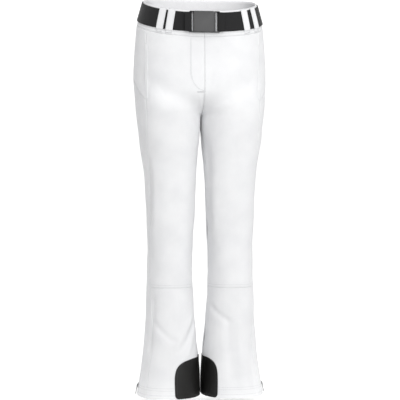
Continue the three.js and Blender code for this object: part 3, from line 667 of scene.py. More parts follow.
def beads(rows, pitch=STITCH_PITCH, length=STITCH_LENGTH, radius=THREAD_RADIUS):
    """Rings of five points for each stitch of every row, as vertices and faces."""
    rings_of_bead = ((-0.5, 0.45, -0.9), (-0.28, 1.0, 0.25), (0.28, 1.0, 0.25), (0.5, 0.45, -0.9))
    turns = np.linspace(0, FULL, 5, endpoint=False) + math.pi / 2
    vertices, faces = [], []
    one = []
    for ring in range(3):
        for k in range(5):
            a, b = ring * 5 + k, ring * 5 + (k + 1) % 5
            one.append((a, b, b + 5, a + 5))
    one += [(4, 3, 2, 1, 0), (15, 16, 17, 18, 19)]
    count = 0
    for points, normals in rows:
        total = np.linalg.norm(np.diff(points, axis=0), axis=1).sum()
        centres = np.arange(pitch / 2, total, pitch)
        if not len(centres):
            continue
        at, along, up = path_samples(points, normals, centres)
        across = np.cross(along, up)
        rings = []
        for where, size, lift in rings_of_bead:
            middle = at + along * (where * length) + up * (lift * radius)
            spokes = (across[:, None] * np.cos(turns)[None, :, None]
                      + up[:, None] * np.sin(turns)[None, :, None]) * radius * size
            rings.append(middle[:, None] + spokes)
        vertices.append(np.stack(rings, axis=1).reshape(-1, 3))
        for n in range(len(centres)):
            base = count + n * 20
            faces += [tuple(base + v for v in face) for face in one]
        count += len(centres) * 20
    return np.concatenate(vertices), faces


def mesh_object(name, vertices, faces, material, smooth_faces=True):
    mesh = bpy.data.meshes.new(name)
    mesh.from_pydata([tuple(v) for v in np.asarray(vertices, float)], [], faces)
    mesh.materials.append(material)
    if smooth_faces:
        mesh.polygons.foreach_set("use_smooth", np.ones(len(mesh.polygons), bool))
    piece = bpy.data.objects.new(name, mesh)
    bpy.context.collection.objects.link(piece)
    return piece


def thread_material(name, dark, light):
    material, tree, shader = new_material(name)
    place_in = coordinates(tree, "Object")
    uneven = noise(tree, place_in, 260, 2)
    colour = colour_ramp(tree, uneven, [(0.3, dark), (0.7, light)])
    tree.links.new(colour, shader.inputs["Base Color"])
    shader.inputs["Roughness"].default_value = 0.6
    shader.inputs["Sheen Weight"].default_value = 0.1
    bump(tree, shader, noise(tree, place_in, 900, 1), 0.3, 0.0001)
    return material


# the topstitching thread is mid grey as painted shade: the real thread is white on white cloth, and
# the grey stands in for the shade along its stitch lines
painted_shade_grey_thread = thread_material("painted_shade_grey_thread", (0.48, 0.485, 0.50), (0.66, 0.66, 0.67))
black_thread = thread_material("black_thread", (0.010, 0.010, 0.011), (0.04, 0.04, 0.043))


def sew(name, rows, slot, material=painted_shade_grey_thread, body="pants", **size):
    vertices, faces = beads(rows, **size)
    piece = place(mesh_object(name, vertices, faces, material), slot, body)
    print(name, len(vertices) // 20, "stitches")
    return piece

# %% [markdown]
# Each row of stitches is a line on the cloth: a run of levels beside a seam, or a run of angles
# at one height. The rows sit 0.1 mm proud of the cloth, so half of each bead shows.

# %% Stitch rows on the panels
PROUD = 0.0001
BESIDE_SEAM, BESIDE_ZIP, FROM_EDGE = 0.0025, 0.0072, 0.002


def row_up(side, low, high, line, shift=0.0):
    level = np.linspace(low, high, max(6, int((high - low) / 0.006)))
    return cloth(side, level, beside(line, shift)(level), PROUD)


def row_round(side, level, start, end, count=90):
    return cloth(side, level, np.linspace(start, end, count), PROUD)


POCKET_LOW, POCKET_HIGH = CROTCH + 0.040, CROTCH + 0.197
WELT_HALF, AT_GUARD = 0.004, 0.9
for hand, side in HANDS:
    seam_rows = [row_up(side, low, high, line, shift) for low, high, line, shift in (
        (0.004, KNEE_SEAM - FROM_EDGE, front_seam, -BESIDE_SEAM),
        (KNEE_SEAM + FROM_EDGE, POCKET_LOW - 0.003, front_seam, -BESIDE_SEAM),
        (POCKET_HIGH + 0.003, WAIST_SEAM - FROM_EDGE, front_seam, -BESIDE_SEAM),
        (0.004, POCKET_LOW - 0.003, front_seam, BESIDE_SEAM),
        (HEM_ZIP_TOP + 0.006, YOKE_SEAM - FROM_EDGE, SIDE, BESIDE_SEAM),
        (YOKE_SEAM + FROM_EDGE, WAIST_SEAM - FROM_EDGE, SIDE, BESIDE_SEAM),
        (0.004, CROTCH - FROM_EDGE, 0.0, 0.0028),
        (0.003, HEM_ZIP_TOP + 0.004, SIDE, BESIDE_ZIP),
        (0.003, HEM_ZIP_TOP + 0.004, SIDE, -BESIDE_ZIP),
    )]
    sew(f"seam_stitches_{hand}", seam_rows, "softshell")
    knee_end = float(front_seam(KNEE_SEAM)) - 0.03
    yoke_start, yoke_end = SIDE + 0.04, FULL - 0.02
    cross_rows = [row_round(side, KNEE_SEAM + step, 0.06, knee_end)
                  for step in (BESIDE_SEAM, BESIDE_SEAM + 0.006)]
    cross_rows += [row_round(side, YOKE_SEAM + BESIDE_SEAM, yoke_start, yoke_end)]
    cross_rows += [row_round(side, level, a, b) for level in (WAIST_SEAM + 0.003, WAIST_TOP - 0.003)
                   for a, b in ((0.03, SIDE), (SIDE, FULL - 0.01))]
    sew(f"cross_stitches_{hand}", cross_rows, "softshell")
    hem_rows = []
    for level in (0.010, 0.0225, 0.0285):
        at_zip = float(walk(level, SIDE, BESIDE_ZIP + 0.0006)[0]) - SIDE
        hem_rows.append(row_round(side, level, AT_GUARD, SIDE - at_zip, 70))
        hem_rows.append(row_round(side, level, SIDE + at_zip, FULL - AT_GUARD, 70))
    sew(f"hem_stitches_{hand}", hem_rows, "softshell")

# %% [markdown]
# ## Belt
# The belt is a ribbed elastic webbing. It lies on the waistband, passes under the belt loops,
# and leaves the body at each end to fold round a bar of the buckle. It is a ribbon: a path
# through the belt's middle, swept straight up by the webbing's width, with a rounded selvedge
# along both edges. Its ribs run lengthwise and its UV map follows the path.

# %% Belt path
BELT_MIDDLE, WEBBING_WIDTH, WEBBING_THICK, BELT_GAP = WAIST_TOP - 0.0295, 0.050, 0.002, 0.0012
housing_low, housing_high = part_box("buckle_housing")
BAR_THICK, TAIL_LENGTH = 0.004, 0.0145
BAR_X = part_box("buckle_tongue")[1].x - BAR_THICK / 2
BUCKLE_Z = (housing_low.z + housing_high.z) / 2
BUCKLE_Y = housing_high.y - 0.004
FRONT_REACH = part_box("belt_front_left")[1].x
print("bar", round(BAR_X, 4), "buckle", round(BUCKLE_Y, 4), round(BUCKLE_Z, 4),
      "reach", round(FRONT_REACH, 4))


belt_low_level = BELT_MIDDLE - WEBBING_WIDTH / 2
belt_high_level = BELT_MIDDLE + WEBBING_WIDTH / 2


def belt_body(side, angles):
    """The webbing's lower and upper edge along the waist."""
    return [cloth(side, level, angles, BELT_GAP + WEBBING_THICK / 2)[0]
            for level in (belt_low_level, belt_high_level)]


def bar_fold(side):
    """Round the bar from the belt's outer face, and back over the top as a stitched tail."""
    radius = BAR_THICK / 2 + WEBBING_THICK / 2 + 0.0002
    turns = np.linspace(math.pi / 2, -math.pi / 2, 15)
    x, y = BAR_X - radius * np.cos(turns), BUCKLE_Y + radius * np.sin(turns)
    around = np.stack([side * x, y], -1)
    tail = np.linspace(0.002, TAIL_LENGTH, 10)
    drop = 0.0006 * np.sin(tail / TAIL_LENGTH * math.pi)
    back = np.stack([side * (BAR_X + tail), BUCKLE_Y - radius - drop], -1)
    flat = np.concatenate([around, back])
    return [np.column_stack([flat, np.full(len(flat), BUCKLE_Z + half)])
            for half in (-WEBBING_WIDTH / 2, WEBBING_WIDTH / 2)]


def join_path(body, side):
    """The belt's edges, eased from the waist onto the bar and round it."""
    share = np.linspace(0, 1, 8)[1:-1, None]
    eased = np.concatenate([share, smooth(share, 0, 1), share], 1)
    return [np.concatenate([edge, edge[-1] + (turned[0] - edge[-1]) * eased, turned])
            for edge, turned in zip(body, bar_fold(side))]


def ribbon(name, low, high, material, thickness, columns=14, round_edge=0.45):
    """A closed ribbon between two edge paths, with selvedges that thin out to a round edge."""
    middle = (low + high) / 2
    along = np.gradient(middle, axis=0)
    up = high - low
    width = np.linalg.norm(up, axis=1, keepdims=True)
    up = up / width
    normal = np.cross(along, up)
    normal /= np.linalg.norm(normal, axis=1, keepdims=True)
    share = np.unique(np.concatenate([np.linspace(0, 1, columns + 1), [0.006, 0.02, 0.98, 0.994]]))
    from_edge = np.minimum(share, 1 - share) * width.mean()
    inwards = np.clip(from_edge / (thickness * round_edge), 0, 1)
    half = thickness / 2 * np.sqrt(np.clip(1 - (1 - inwards) ** 2, 0.02, 1))
    half = half * (1 + 0.12 * np.exp(-((from_edge - 0.0022) / 0.0009) ** 2))
    base = low[:, None] + up[:, None] * (share[None, :] * width)[..., None]
    away = normal[:, None] * half[None, :, None]
    grid = np.concatenate([base + away, (base - away)[:, ::-1]], axis=1)
    count, ring = grid.shape[:2]
    index = np.arange(count * ring).reshape(count, ring)
    nxt = np.roll(index, -1, axis=1)
    quads = np.stack([index[:-1], index[1:], nxt[1:], nxt[:-1]], -1).reshape(-1, 4)
    faces = [tuple(quad) for quad in quads.tolist()] + [tuple(index[0]), tuple(index[-1][::-1])]
    piece = mesh_object(name, grid.reshape(-1, 3), faces, material)
    mesh = piece.data
    gone = np.concatenate([[0], np.cumsum(np.linalg.norm(np.diff(middle, axis=0), axis=1))])
    across = np.concatenate([share, share[::-1]]) * width.mean()
    uv = np.stack(np.broadcast_arrays(gone[:, None], across[None, :]), -1).reshape(-1, 2)
    layer = mesh.uv_layers.new(name="cloth")
    loops = np.zeros(len(mesh.loops), np.int32)
    mesh.loops.foreach_get("vertex_index", loops)
    layer.data.foreach_set("uv", uv[loops].reshape(-1).astype(np.float32))
    piece["ribbon_length"], piece["ribbon_width"] = float(gone[-1]), float(width.mean())
    return piece


POINT_OUT = (bpy.ops.mesh.normals_make_consistent, {"inside": False})


# %% [markdown]
# The webbing's finish has ribs across its width, each about 2 mm, with a fine cross weave, and
# picks up a little dust on the ridges. Black nylon isn't fully black: it reflects about 2%.

# %% Belt webbing
def webbing_material():
    material, tree, shader = new_material("black_webbing")
    uv = coordinates(tree, "UV")
    ribs = wave(tree, uv, bands_per_metre(560), math.radians(90))
    cross = wave(tree, uv, bands_per_metre(1400), 0.0)
    weave = maths(tree, "MULTIPLY", ribs, scaled(tree, cross, 0.5, 0.5))
    dust = noise(tree, coordinates(tree, "Object"), 42, 5)
    colour = colour_ramp(tree, blended(tree, weave, 0.6, dust), [
        (0.1, (0.003, 0.003, 0.0035)), (0.6, (0.009, 0.009, 0.010)), (1.0, (0.022, 0.022, 0.024))])
    tree.links.new(colour, shader.inputs["Base Color"])
    tree.links.new(scaled(tree, dust, 0.2, 0.62), shader.inputs["Roughness"])
    shader.inputs["Sheen Weight"].default_value = 0.12
    shader.inputs["Specular IOR Level"].default_value = 0.35
    bump(tree, shader, weave, 0.8, 0.0004)
    return material


webbing = webbing_material()
TONGUE_SIDE = 0.052
belt_start = across_waist(BELT_MIDDLE, FRONT_REACH + 0.0002)
belt_end = across_waist(BELT_MIDDLE, TONGUE_SIDE)
left_body = belt_body(1, np.linspace(belt_start, FULL, 110))
right_body = belt_body(-1, np.linspace(FULL, belt_end, 160)[1:])
front_body = belt_body(1, np.linspace(across_waist(BELT_MIDDLE, FRONT_REACH), belt_end, 34))
whole_body = [np.concatenate(edges) for edges in zip(left_body, right_body)]


def sewn_ribbon(name, edges):
    """A length of the webbing, with its doubles merged and its faces pointing out."""
    piece = ribbon(name, *edges, webbing, WEBBING_THICK)
    edit_all(piece, (bpy.ops.mesh.remove_doubles, {"threshold": 0.000002}), POINT_OUT)
    piece.select_set(False)
    return piece


belt = sewn_ribbon("belt_webbing_cloth", join_path(whole_body, -1))
place(belt, "belt_webbing", stands_for=["belt_webbing"])
front_belt = sewn_ribbon("belt_front_cloth", join_path(front_body, 1))
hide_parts("belt_front_left")
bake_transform(front_belt)

# %% [markdown]
# ## Belt loops
# Each loop is a folded strap of the softshell. Its ends are bar-tacked flat onto the waistband
# and the middle stands over the belt. The loops run a little above the waistband's top edge.

# %% Belt loops
LOOP_WIDTH, LOOP_THICK = 0.019, 0.0012
LOOP_LOW, LOOP_HIGH = 0.00155, 0.00485


def loop_lift(level):
    rise = smooth(level, belt_low_level - 0.0050, belt_low_level - 0.0010)
    fall = 1 - smooth(level, belt_high_level + 0.0010, belt_high_level + 0.0050)
    return LOOP_LOW + (LOOP_HIGH - LOOP_LOW) * rise * fall


loop_places = {}
for hand, side, middle_of in (("left", 1, (WAIST_OUTER - 0.042, WAIST_OUTER - 0.0155)),
                              ("right", -1, (WAIST_OUTER - 0.0655, WAIST_OUTER - 0.0425))):
    for which, x in zip(("front", "side"), middle_of):
        loop_places[f"{hand}_{which}"] = (side, float(across_waist(BELT_MIDDLE, x)))
    loop_places[f"{hand}_back"] = (side, beside(FULL, -0.0135))

loop_bottom, loop_top = belt_low_level - 0.011, belt_high_level + 0.0055
half_width = LOOP_WIDTH / 2
tack_rows, loop_rows = [], []
for name, (side, line) in loop_places.items():
    lay(f"belt_loop_{name}_cloth", side, loop_bottom, loop_top, beside(line, -half_width),
        beside(line, half_width), softshell, "softshell", "stretched", [f"belt_loop_{name}"],
        ["belt_webbing_cloth"], edge=0.00035, lift=lambda level, angle: loop_lift(level),
        thickness=LOOP_THICK, step=0.0016)
    for shift in (-half_width + 0.002, half_width - 0.002):
        level = np.linspace(loop_bottom + 0.001, loop_top - 0.001, 60)
        loop_rows.append(cloth(side, level, beside(line, shift)(level), loop_lift(level) + PROUD))
    for level in (loop_bottom + 0.0022, loop_bottom + 0.0030, loop_top - 0.0024, loop_top - 0.0016):
        at = np.full(12, level)
        turn = beside(line, np.linspace(-half_width + 0.001, half_width - 0.001, 12))(at)
        tack_rows.append(cloth(side, at, turn, loop_lift(at) + PROUD))
sew("loop_stitches", loop_rows, "softshell")
sew("loop_bar_tacks", tack_rows, "softshell", pitch=0.0011, length=0.0016)

# %% [markdown]
# ## Fly and pockets on the outside
# The fly's facing is held by a double row of stitches that turns in towards the centre front in
# a J, and ends in a bar tack. The pocket opening hides between two padded welts in the princess
# seam. The bag behind it is sewn to the side panel along a slanting line.

# %% Fly stitches
FLY_BOTTOM, FLY_TOP, FLY_FACING_WIDTH = CROTCH + 0.062, WAIST_SEAM - 0.010, 0.038
FLY_CURVE_TOP, FLY_CURVE = FLY_BOTTOM + 0.048, 0.050


def facing_width(level):
    drop = np.clip((FLY_CURVE_TOP - np.asarray(level, float)) / FLY_CURVE, 0, 1)
    return FLY_FACING_WIDTH * np.sqrt(1 - drop ** 2)


curve_turns = np.linspace(0, math.pi / 2, 26)
j_levels = np.concatenate([FLY_CURVE_TOP - FLY_CURVE * np.sin(curve_turns)[::-1],
                           np.linspace(FLY_CURVE_TOP + 0.004, WAIST_SEAM - 0.002, 24)])
fly_rows = []
for inside in (0.0012, 0.0034):
    reach = np.maximum(facing_width(j_levels) - inside, 0.0004)
    fly_rows.append(cloth(-1, j_levels, walk(j_levels, 0.0, reach), PROUD))
fly_rows.append(row_up(1, FLY_BOTTOM - 0.006, WAIST_SEAM - 0.002, 0.0, 0.0022))
fly_rows += [row_up(side, CROTCH + 0.008, FLY_BOTTOM - 0.008, 0.0, 0.0024) for side in (-1, 1)]
sew("fly_stitches", fly_rows, "softshell", radius=0.00034)
bar_rows = []
for level in (FLY_BOTTOM - 0.0062, FLY_BOTTOM - 0.0054, FLY_BOTTOM - 0.0046):
    at = np.full(16, level)
    bar_rows.append(cloth(-1, at, walk(at, 0.0, np.linspace(0.0004, 0.019, 16)), PROUD + 0.0001))
sew("fly_bar_tack", bar_rows, "softshell", pitch=0.0010, length=0.0016, radius=0.00036)

# %% [markdown]
# A welt is a strip folded over on itself, so it stands up with a round back. Two of them meet
# over the zip. A profile across the strip gives the round back.

# %% Pocket welts
def round_back(over):
    return 0.0010 * np.sqrt(np.clip(1 - (2 * over - 1) ** 2, 0, 1))


WELT_GAP, WELT_STEP = 0.0001, 0.0008
for hand, side in HANDS:
    for which, near, far in (("front", -WELT_HALF, -WELT_GAP), ("back", WELT_GAP, WELT_HALF)):
        lay(f"pocket_welt_{which}_{hand}", side, POCKET_LOW, POCKET_HIGH, beside(front_seam, near),
            beside(front_seam, far), softshell, "softshell", "folded", lift=0.0003,
            thickness=0.0009, step=WELT_STEP, profile=round_back)
    rows = [row_up(side, POCKET_LOW, POCKET_HIGH, front_seam, shift)
            for shift in (-WELT_HALF - 0.0012, WELT_HALF + 0.0012)]
    for end in (POCKET_LOW, POCKET_HIGH):
        at = np.full(10, end)
        turn = beside(front_seam, np.linspace(-WELT_HALF, WELT_HALF, 10))(at)
        rows.append(cloth(side, at, turn, 0.0012))
    turn = np.linspace(front_seam(CROTCH + 0.04) + 0.07, SIDE - 0.03, 40)
    level = np.full(40, CROTCH + 0.07)
    for _ in range(4):
        level = bag_level(level, np.degrees(turn))[0]
    rows += [cloth(side, level + shift, turn, PROUD) for shift in (-0.0024, 0.0024)]
    sew(f"pocket_stitches_{hand}", rows, "softshell")

# %% [markdown]
# ## Scuff guards
# A ski boot's buckles and edges cut into the inside of the hem, so a coated black cloth covers it.
# The coating is smooth between fine grains and has a low shine. Its outline has round shoulders
# and round lower corners, and it reaches further round the front than the back.

# %% Guard cloth
def coated_material():
    material, tree, shader = new_material("black_coated_cloth")
    place_in = coordinates(tree, "Object")
    uv = coordinates(tree, "UV")
    grain = noise(tree, place_in, 900, 2)
    streaks = wave(tree, uv, bands_per_metre(620), 0.0)
    streaks_up = wave(tree, uv, bands_per_metre(620), math.radians(90))
    weave = maths(tree, "MULTIPLY", streaks, streaks_up)
    wear = noise(tree, place_in, 26, 5, 0.65)
    colour = colour_ramp(tree, blended(tree, wear, 0.7, grain), [
        (0.2, (0.004, 0.0038, 0.0035)), (0.55, (0.008, 0.0077, 0.0072)),
        (0.85, (0.015, 0.0145, 0.0135))])
    tree.links.new(colour, shader.inputs["Base Color"])
    tree.links.new(scaled(tree, wear, 0.3, 0.36), shader.inputs["Roughness"])
    shader.inputs["Specular IOR Level"].default_value = 0.3
    shader.inputs["Coat Weight"].default_value = 0.06
    shader.inputs["Coat Roughness"].default_value = 0.4
    bump(tree, shader, scaled(tree, grain, 0.5, weave), 0.45, 0.0002)
    return material


coated = coated_material()
GUARD_HEIGHT, GUARD_BACK, GUARD_CORNER = 0.104, 0.066, 0.011
GUARD_FRONT = {"left": 0.091, "right": 0.131}
GUARD_THICK, CLEAR = 0.001, 0.00035
GUARD_CREASE = {"left": 0.030, "right": 0.047}


def guard_spread(level, reach):
    corner = np.maximum(0, 1 - level / GUARD_CORNER)
    return (reach * (1 - (level / (GUARD_HEIGHT + 0.001)) ** 5) ** (1 / 4)
            - GUARD_CORNER * (1 - np.sqrt(1 - corner ** 2)))


for hand, side in HANDS:
    crease_turn = float(walk(0.04, 0.0, GUARD_CREASE[hand])[0])

    def guard_lift(level, angle):
        crease = np.sin((angle - crease_turn) / 2) / 0.032
        return GUARD_THICK + CLEAR + 0.0024 * np.exp(-crease ** 2) * smooth(level, 0.01, 0.07)

    lay(f"scuff_guard_cloth_{hand}", side, 0.0008, GUARD_HEIGHT,
        beside(0.0, lambda level: -guard_spread(level, GUARD_BACK)),
        beside(0.0, lambda level: guard_spread(level, GUARD_FRONT[hand])), coated, "scuff_guard",
        "laid", [f"scuff_guard_{hand}"], [f"shin_panel_cloth_{hand}"], edge=0.0003,
        edge_rows=True, lift=guard_lift, thickness=GUARD_THICK, step=0.0024)
    level = np.concatenate([np.linspace(0.002, 0.086, 42),
                            np.linspace(0.087, GUARD_HEIGHT - 0.003, 24)])
    rows = []
    for inside in (0.003, 0.0062):
        shrunk = np.minimum(level, GUARD_HEIGHT - inside)
        for way, reach in ((1, GUARD_FRONT[hand]), (-1, GUARD_BACK)):
            away = way * np.maximum(guard_spread(shrunk, reach) - inside, 0.001)
            rows.append(cloth(side, shrunk, walk(shrunk, 0.0, away), GUARD_THICK + CLEAR + PROUD))
    sew(f"guard_stitches_{hand}", rows, "scuff_guard", black_thread)

# %% [markdown]
# ## Inside the hem
# The hem is turned up on the inside, and a snow gaiter hangs within it from above. The gaiter is
# a lighter cloth tube that narrows to an elastic edge, which grips the boot. Its gathers are a
# wave round the tube that fades out upwards.

# %% Hem facing and gaiter
CAD_CLOTH = 0.0016
FACING_INSET = CAD_CLOTH + CLEAR + 0.0015
GUSSET_WIDTH, TAPE_WIDTH = 0.048, 0.030
GAITER_LOW, GAITER_HIGH = 0.016, 0.215
gaiter_curve = curve_through(np.array([
    (GAITER_LOW, 0.024), (0.060, 0.023), (0.130, 0.014), (GAITER_HIGH, 0.0066)]))


def gaiter_lift(level, angle):
    gathers = 0.0011 * np.sin(angle * 46) * (1 - smooth(level, GAITER_LOW, 0.085))
    gathers += 0.0004 * np.sin(angle * 97 + 1.3) * (1 - smooth(level, GAITER_LOW, 0.05))
    return -gaiter_curve(level)[..., 0] + gathers - fold(level, angle, 0)


for hand, side in HANDS:
    lay(f"hem_facing_cloth_{hand}", side, 0.001, 0.030, beside(-SIDE, GUSSET_WIDTH / 2 + 0.003),
        beside(SIDE, -GUSSET_WIDTH / 2 - 0.003), facing_cloth, "softshell", "folded",
        [f"hem_facing_{hand}"], lift=-FACING_INSET, thickness=0.0008, step=0.004)
    lay(f"snow_gaiter_cloth_{hand}", side, GAITER_LOW, GAITER_HIGH, 0.004, FULL - 0.004,
        lining_cloth, "lining", "gathered", [f"snow_gaiter_{hand}"], lift=gaiter_lift,
        thickness=0.0007, step=0.0026)
    for number, low in ((1, GAITER_LOW + 0.0005), (2, GAITER_LOW + 0.0085)):
        lay(f"gaiter_elastic_{number}_{hand}", side, low, low + 0.006, 0.004, FULL - 0.004,
            facing_cloth, "lining", "stretched", rests_on=[f"snow_gaiter_cloth_{hand}"],
            lift=lambda level, angle: gaiter_lift(level, angle) + 0.0006, thickness=0.0006,
            step=0.002)

# %% [markdown]
# ## Zip fasteners
# A zip chain is two rows of moulded teeth that interlock, on a woven tape. One tooth is shaped
# from a cube in edit mode and bevelled. Its copies are then set along the zip's line, turned and
# shifted by turns to the left and right. Each tooth has only a few dozen faces.

# %% Tooth
def one_tooth():
    """A tooth with X across the chain, Y along it and Z out: a bar with a rounded head."""
    bpy.ops.mesh.primitive_cube_add(size=1, location=(0, 0, 0))
    tooth = bpy.context.object
    edit_all(tooth, (bpy.ops.transform.resize, {"value": (0.0034, 0.00115, 0.0019)}))
    for vertex in tooth.data.vertices:
        if vertex.co.x > 0:
            vertex.co.y *= 1.25
            vertex.co.z *= 1.06
    round_edges(tooth, 0.00022, 1)
    points = np.array([v.co[:] for v in tooth.data.vertices])
    faces = [tuple(f.vertices) for f in tooth.data.polygons]
    bpy.data.objects.remove(tooth)
    return points, faces


TOOTH_POINTS, TOOTH_FACES = one_tooth()
CHAIN_THICK = 0.0022
TOOTH_PITCH = 0.00145


def metal_material(name, dark, light, roughness, metallic=0.9):
    material, tree, shader = new_material(name)
    place_in = coordinates(tree, "Object")
    uneven = noise(tree, place_in, 130, 4)
    fine = noise(tree, place_in, 1500, 2)
    colour = colour_ramp(tree, uneven, [(0.3, dark), (0.7, light)])
    tree.links.new(colour, shader.inputs["Base Color"])
    shader.inputs["Metallic"].default_value = metallic
    tree.links.new(scaled(tree, uneven, 0.25, roughness - 0.1), shader.inputs["Roughness"])
    bump(tree, shader, fine, 0.2, 0.00005)
    return material


tooth_metal = metal_material("tooth_metal", (0.12, 0.12, 0.125), (0.26, 0.26, 0.27), 0.42)
slider_metal = metal_material("slider_metal", (0.22, 0.22, 0.23), (0.42, 0.42, 0.43), 0.36)
tape_cloth = cloth_material("zip_tape_cloth", (0.50, 0.505, 0.52), (0.66, 0.665, 0.68),
                            1100, math.radians(45), 0.85, 0.1)


def chain(name, side, low, high, line, inset, stands_for):
    """Two interlocked rows of teeth along a line of the garment surface."""
    points, normals = cloth(side, np.linspace(low, high, 140), line, -inset - CHAIN_THICK / 2)
    total = np.linalg.norm(np.diff(points, axis=0), axis=1).sum()
    centres = np.arange(TOOTH_PITCH, total - TOOTH_PITCH / 2, TOOTH_PITCH)
    at, along, up = path_samples(points, normals, centres)
    across = np.cross(along, up)
    vertices, faces = [], []
    for k in range(len(centres)):
        way = 1 if k % 2 else -1
        local = TOOTH_POINTS * (way, 1, 1) - (way * 0.00105, 0, 0)
        vertices.append(at[k] + local @ np.stack([across[k], along[k], up[k]]))
        base = k * len(TOOTH_POINTS)
        for face in TOOTH_FACES:
            turned = face[::-1] if way < 0 else face
            faces.append(tuple(base + v for v in turned))
    piece = mesh_object(name, np.concatenate(vertices), faces, tooth_metal, smooth_faces=False)
    edit_all(piece, POINT_OUT)
    bpy.ops.object.shade_smooth_by_angle(angle=math.radians(35))
    place(piece, "zip_tape", stands_for=stands_for)
    print(name, len(centres), "teeth")


TAPE_INSET = CAD_CLOTH + CLEAR + 0.0008
CHAIN_INSET = TAPE_INSET - CLEAR - CHAIN_THICK
TAPE_THICK = 0.0006
GUSSET_INSET = TAPE_INSET + TAPE_THICK + CLEAR + 0.0003


def strip(name, side, low, high, line, width, inset, thickness, material, slot, node,
          held="stretched", step=0.003):
    """A strip of cloth that follows a line up the garment surface and stands for a CAD node."""
    lay(name, side, low, high, beside(line, -width / 2), beside(line, width / 2), material, slot,
        held, [node], lift=-inset, thickness=thickness, step=step)


for hand, side in HANDS:
    chain(f"hem_zip_chain_{hand}", side, HEM_ZIP_BOTTOM, HEM_ZIP_TOP, SIDE, CHAIN_INSET,
          [f"hem_zip_teeth_{hand}"])
    strip(f"hem_zip_tape_cloth_{hand}", side, HEM_ZIP_BOTTOM, HEM_ZIP_TOP, SIDE, TAPE_WIDTH,
          TAPE_INSET, TAPE_THICK, tape_cloth, "zip_tape", f"hem_zip_tape_{hand}")
    strip(f"hem_zip_gusset_cloth_{hand}", side, HEM_ZIP_BOTTOM, HEM_ZIP_TOP, SIDE, GUSSET_WIDTH,
          GUSSET_INSET, 0.0008, lining_cloth, "lining", f"hem_zip_gusset_{hand}", "folded")

# %% [markdown]
# The fly and the pockets have the same kind of chain and tape, set deeper behind their facings.

# %% Fly and pocket zips
FLY_PULLER_INSET = FACING_INSET + 0.0008 + CLEAR
FLY_SLIDER_INSET = FLY_PULLER_INSET + 0.0014 + CLEAR + 0.0024
FLY_CHAIN_INSET = FLY_SLIDER_INSET + 0.0005
FLY_TAPE_INSET = FLY_CHAIN_INSET + CHAIN_THICK + CLEAR
FLY_GUARD_INSET = FLY_TAPE_INSET + TAPE_THICK + CLEAR
POCKET_TAPE_INSET = FLY_SLIDER_INSET + 0.0028
POCKET_BAG_INSET = POCKET_TAPE_INSET + CHAIN_THICK + CLEAR


def bag_end(level):
    """The bag's far edge, which runs from beside the pocket to the side seam."""
    share = np.clip((level - CROTCH - 0.042) / 0.064, 0, 1)
    near = beside(front_seam, 0.016)(level)
    return near + (SIDE - 0.06 - near) * share


chain("fly_zip_chain", 1, FLY_BOTTOM, FLY_TOP, 0.0, FLY_CHAIN_INSET, ["fly_zip_teeth"])
strip("fly_zip_tape_cloth", 1, FLY_BOTTOM, FLY_TOP, 0.0, TAPE_WIDTH, FLY_TAPE_INSET, TAPE_THICK,
      tape_cloth, "zip_tape", "fly_zip_tape")
strip("fly_guard_cloth", 1, FLY_BOTTOM, FLY_TOP, 0.0, 0.044, FLY_GUARD_INSET, 0.0008,
      facing_cloth, "softshell", "fly_guard")
lay("fly_facing_cloth", -1, FLY_BOTTOM + 0.0002, WAIST_SEAM - 0.002, beside(0.0, 0.001),
    beside(0.0, lambda level: np.maximum(facing_width(level), 0.003)), facing_cloth, "softshell",
    "laid", ["fly_facing"], lift=-FACING_INSET, thickness=0.0008, step=0.003)
for hand, side in HANDS:
    strip(f"pocket_zip_tape_{hand}", side, CROTCH + 0.042, CROTCH + 0.195, front_seam, 0.020,
          POCKET_TAPE_INSET + 0.0004, TAPE_THICK, tape_cloth, "zip_tape", f"pocket_zip_{hand}")
    level = np.linspace(CROTCH + 0.044, CROTCH + 0.193, 60)
    coil_rows = [cloth(side, level, beside(front_seam, shift)(level), -POCKET_TAPE_INSET)
                 for shift in (-0.0009, 0.0009)]
    sew(f"pocket_zip_coil_{hand}", coil_rows, "zip_tape", tooth_metal, pitch=0.0013, length=0.0012,
        radius=0.00055)

    lay(f"pocket_bag_cloth_{hand}", side, CROTCH + 0.036, CROTCH + 0.195,
        beside(front_seam, -0.014), bag_end, lining_cloth, "lining", "hung",
        [f"pocket_bag_{hand}"], lift=-POCKET_BAG_INSET, thickness=0.0022, step=0.0035)

# %% [markdown]
# ## Inside of the waist
# The waistband is faced with a brushed lining. A tab behind the front closure carries a press
# stud. Two hanger loops and a blank care label are sewn into the waist seam.

# %% Waist lining
LINING_INSET, LINING_THICK = 0.0022 + CLEAR, 0.001
INNER_FACE = LINING_INSET + LINING_THICK + CLEAR
TAB_INSET = INNER_FACE + 2 * (LINING_THICK + CLEAR)
lay("waistband_lining_cloth", 1, WAIST_SEAM + 0.002, WAIST_TOP - 0.0015, beside(0.0, 0.002),
    lambda level: 2 * FULL - walk(level, 0.0, 0.002), lining_cloth, "lining", "laid",
    ["waistband_lining"], lift=-LINING_INSET, thickness=LINING_THICK, step=0.004)
strip("waistband_tab_cloth", 1, WAIST_SEAM + 0.006, WAIST_TOP - 0.005, 0.0, 0.070, TAB_INSET,
      0.0012, facing_cloth, "softshell", "waistband_tab", "laid")
strip("care_label_cloth", 1, WAIST_SEAM - 0.062, WAIST_SEAM - 0.004,
      beside(FULL, -0.030), 0.035, INNER_FACE, 0.0004, facing_cloth, "lining",
      "care_label", "hung")
for hand, side in HANDS:
    strip(f"hanger_loop_cloth_{hand}", side, WAIST_SEAM - 0.048, WAIST_SEAM - 0.002, SIDE, 0.007,
          INNER_FACE, 0.0012, lining_cloth, "lining", f"hanger_loop_{hand}", "hung", step=0.0015)

# %% [markdown]
# ## Buckle
# The side-release buckle is moulded plastic: a black housing, a satin grey cover, and a tongue
# with two sprung arms. The CAD shapes are right, so each is copied, its loose triangles are
# merged, flat areas are joined, and the edges get the small radius a mould gives them.

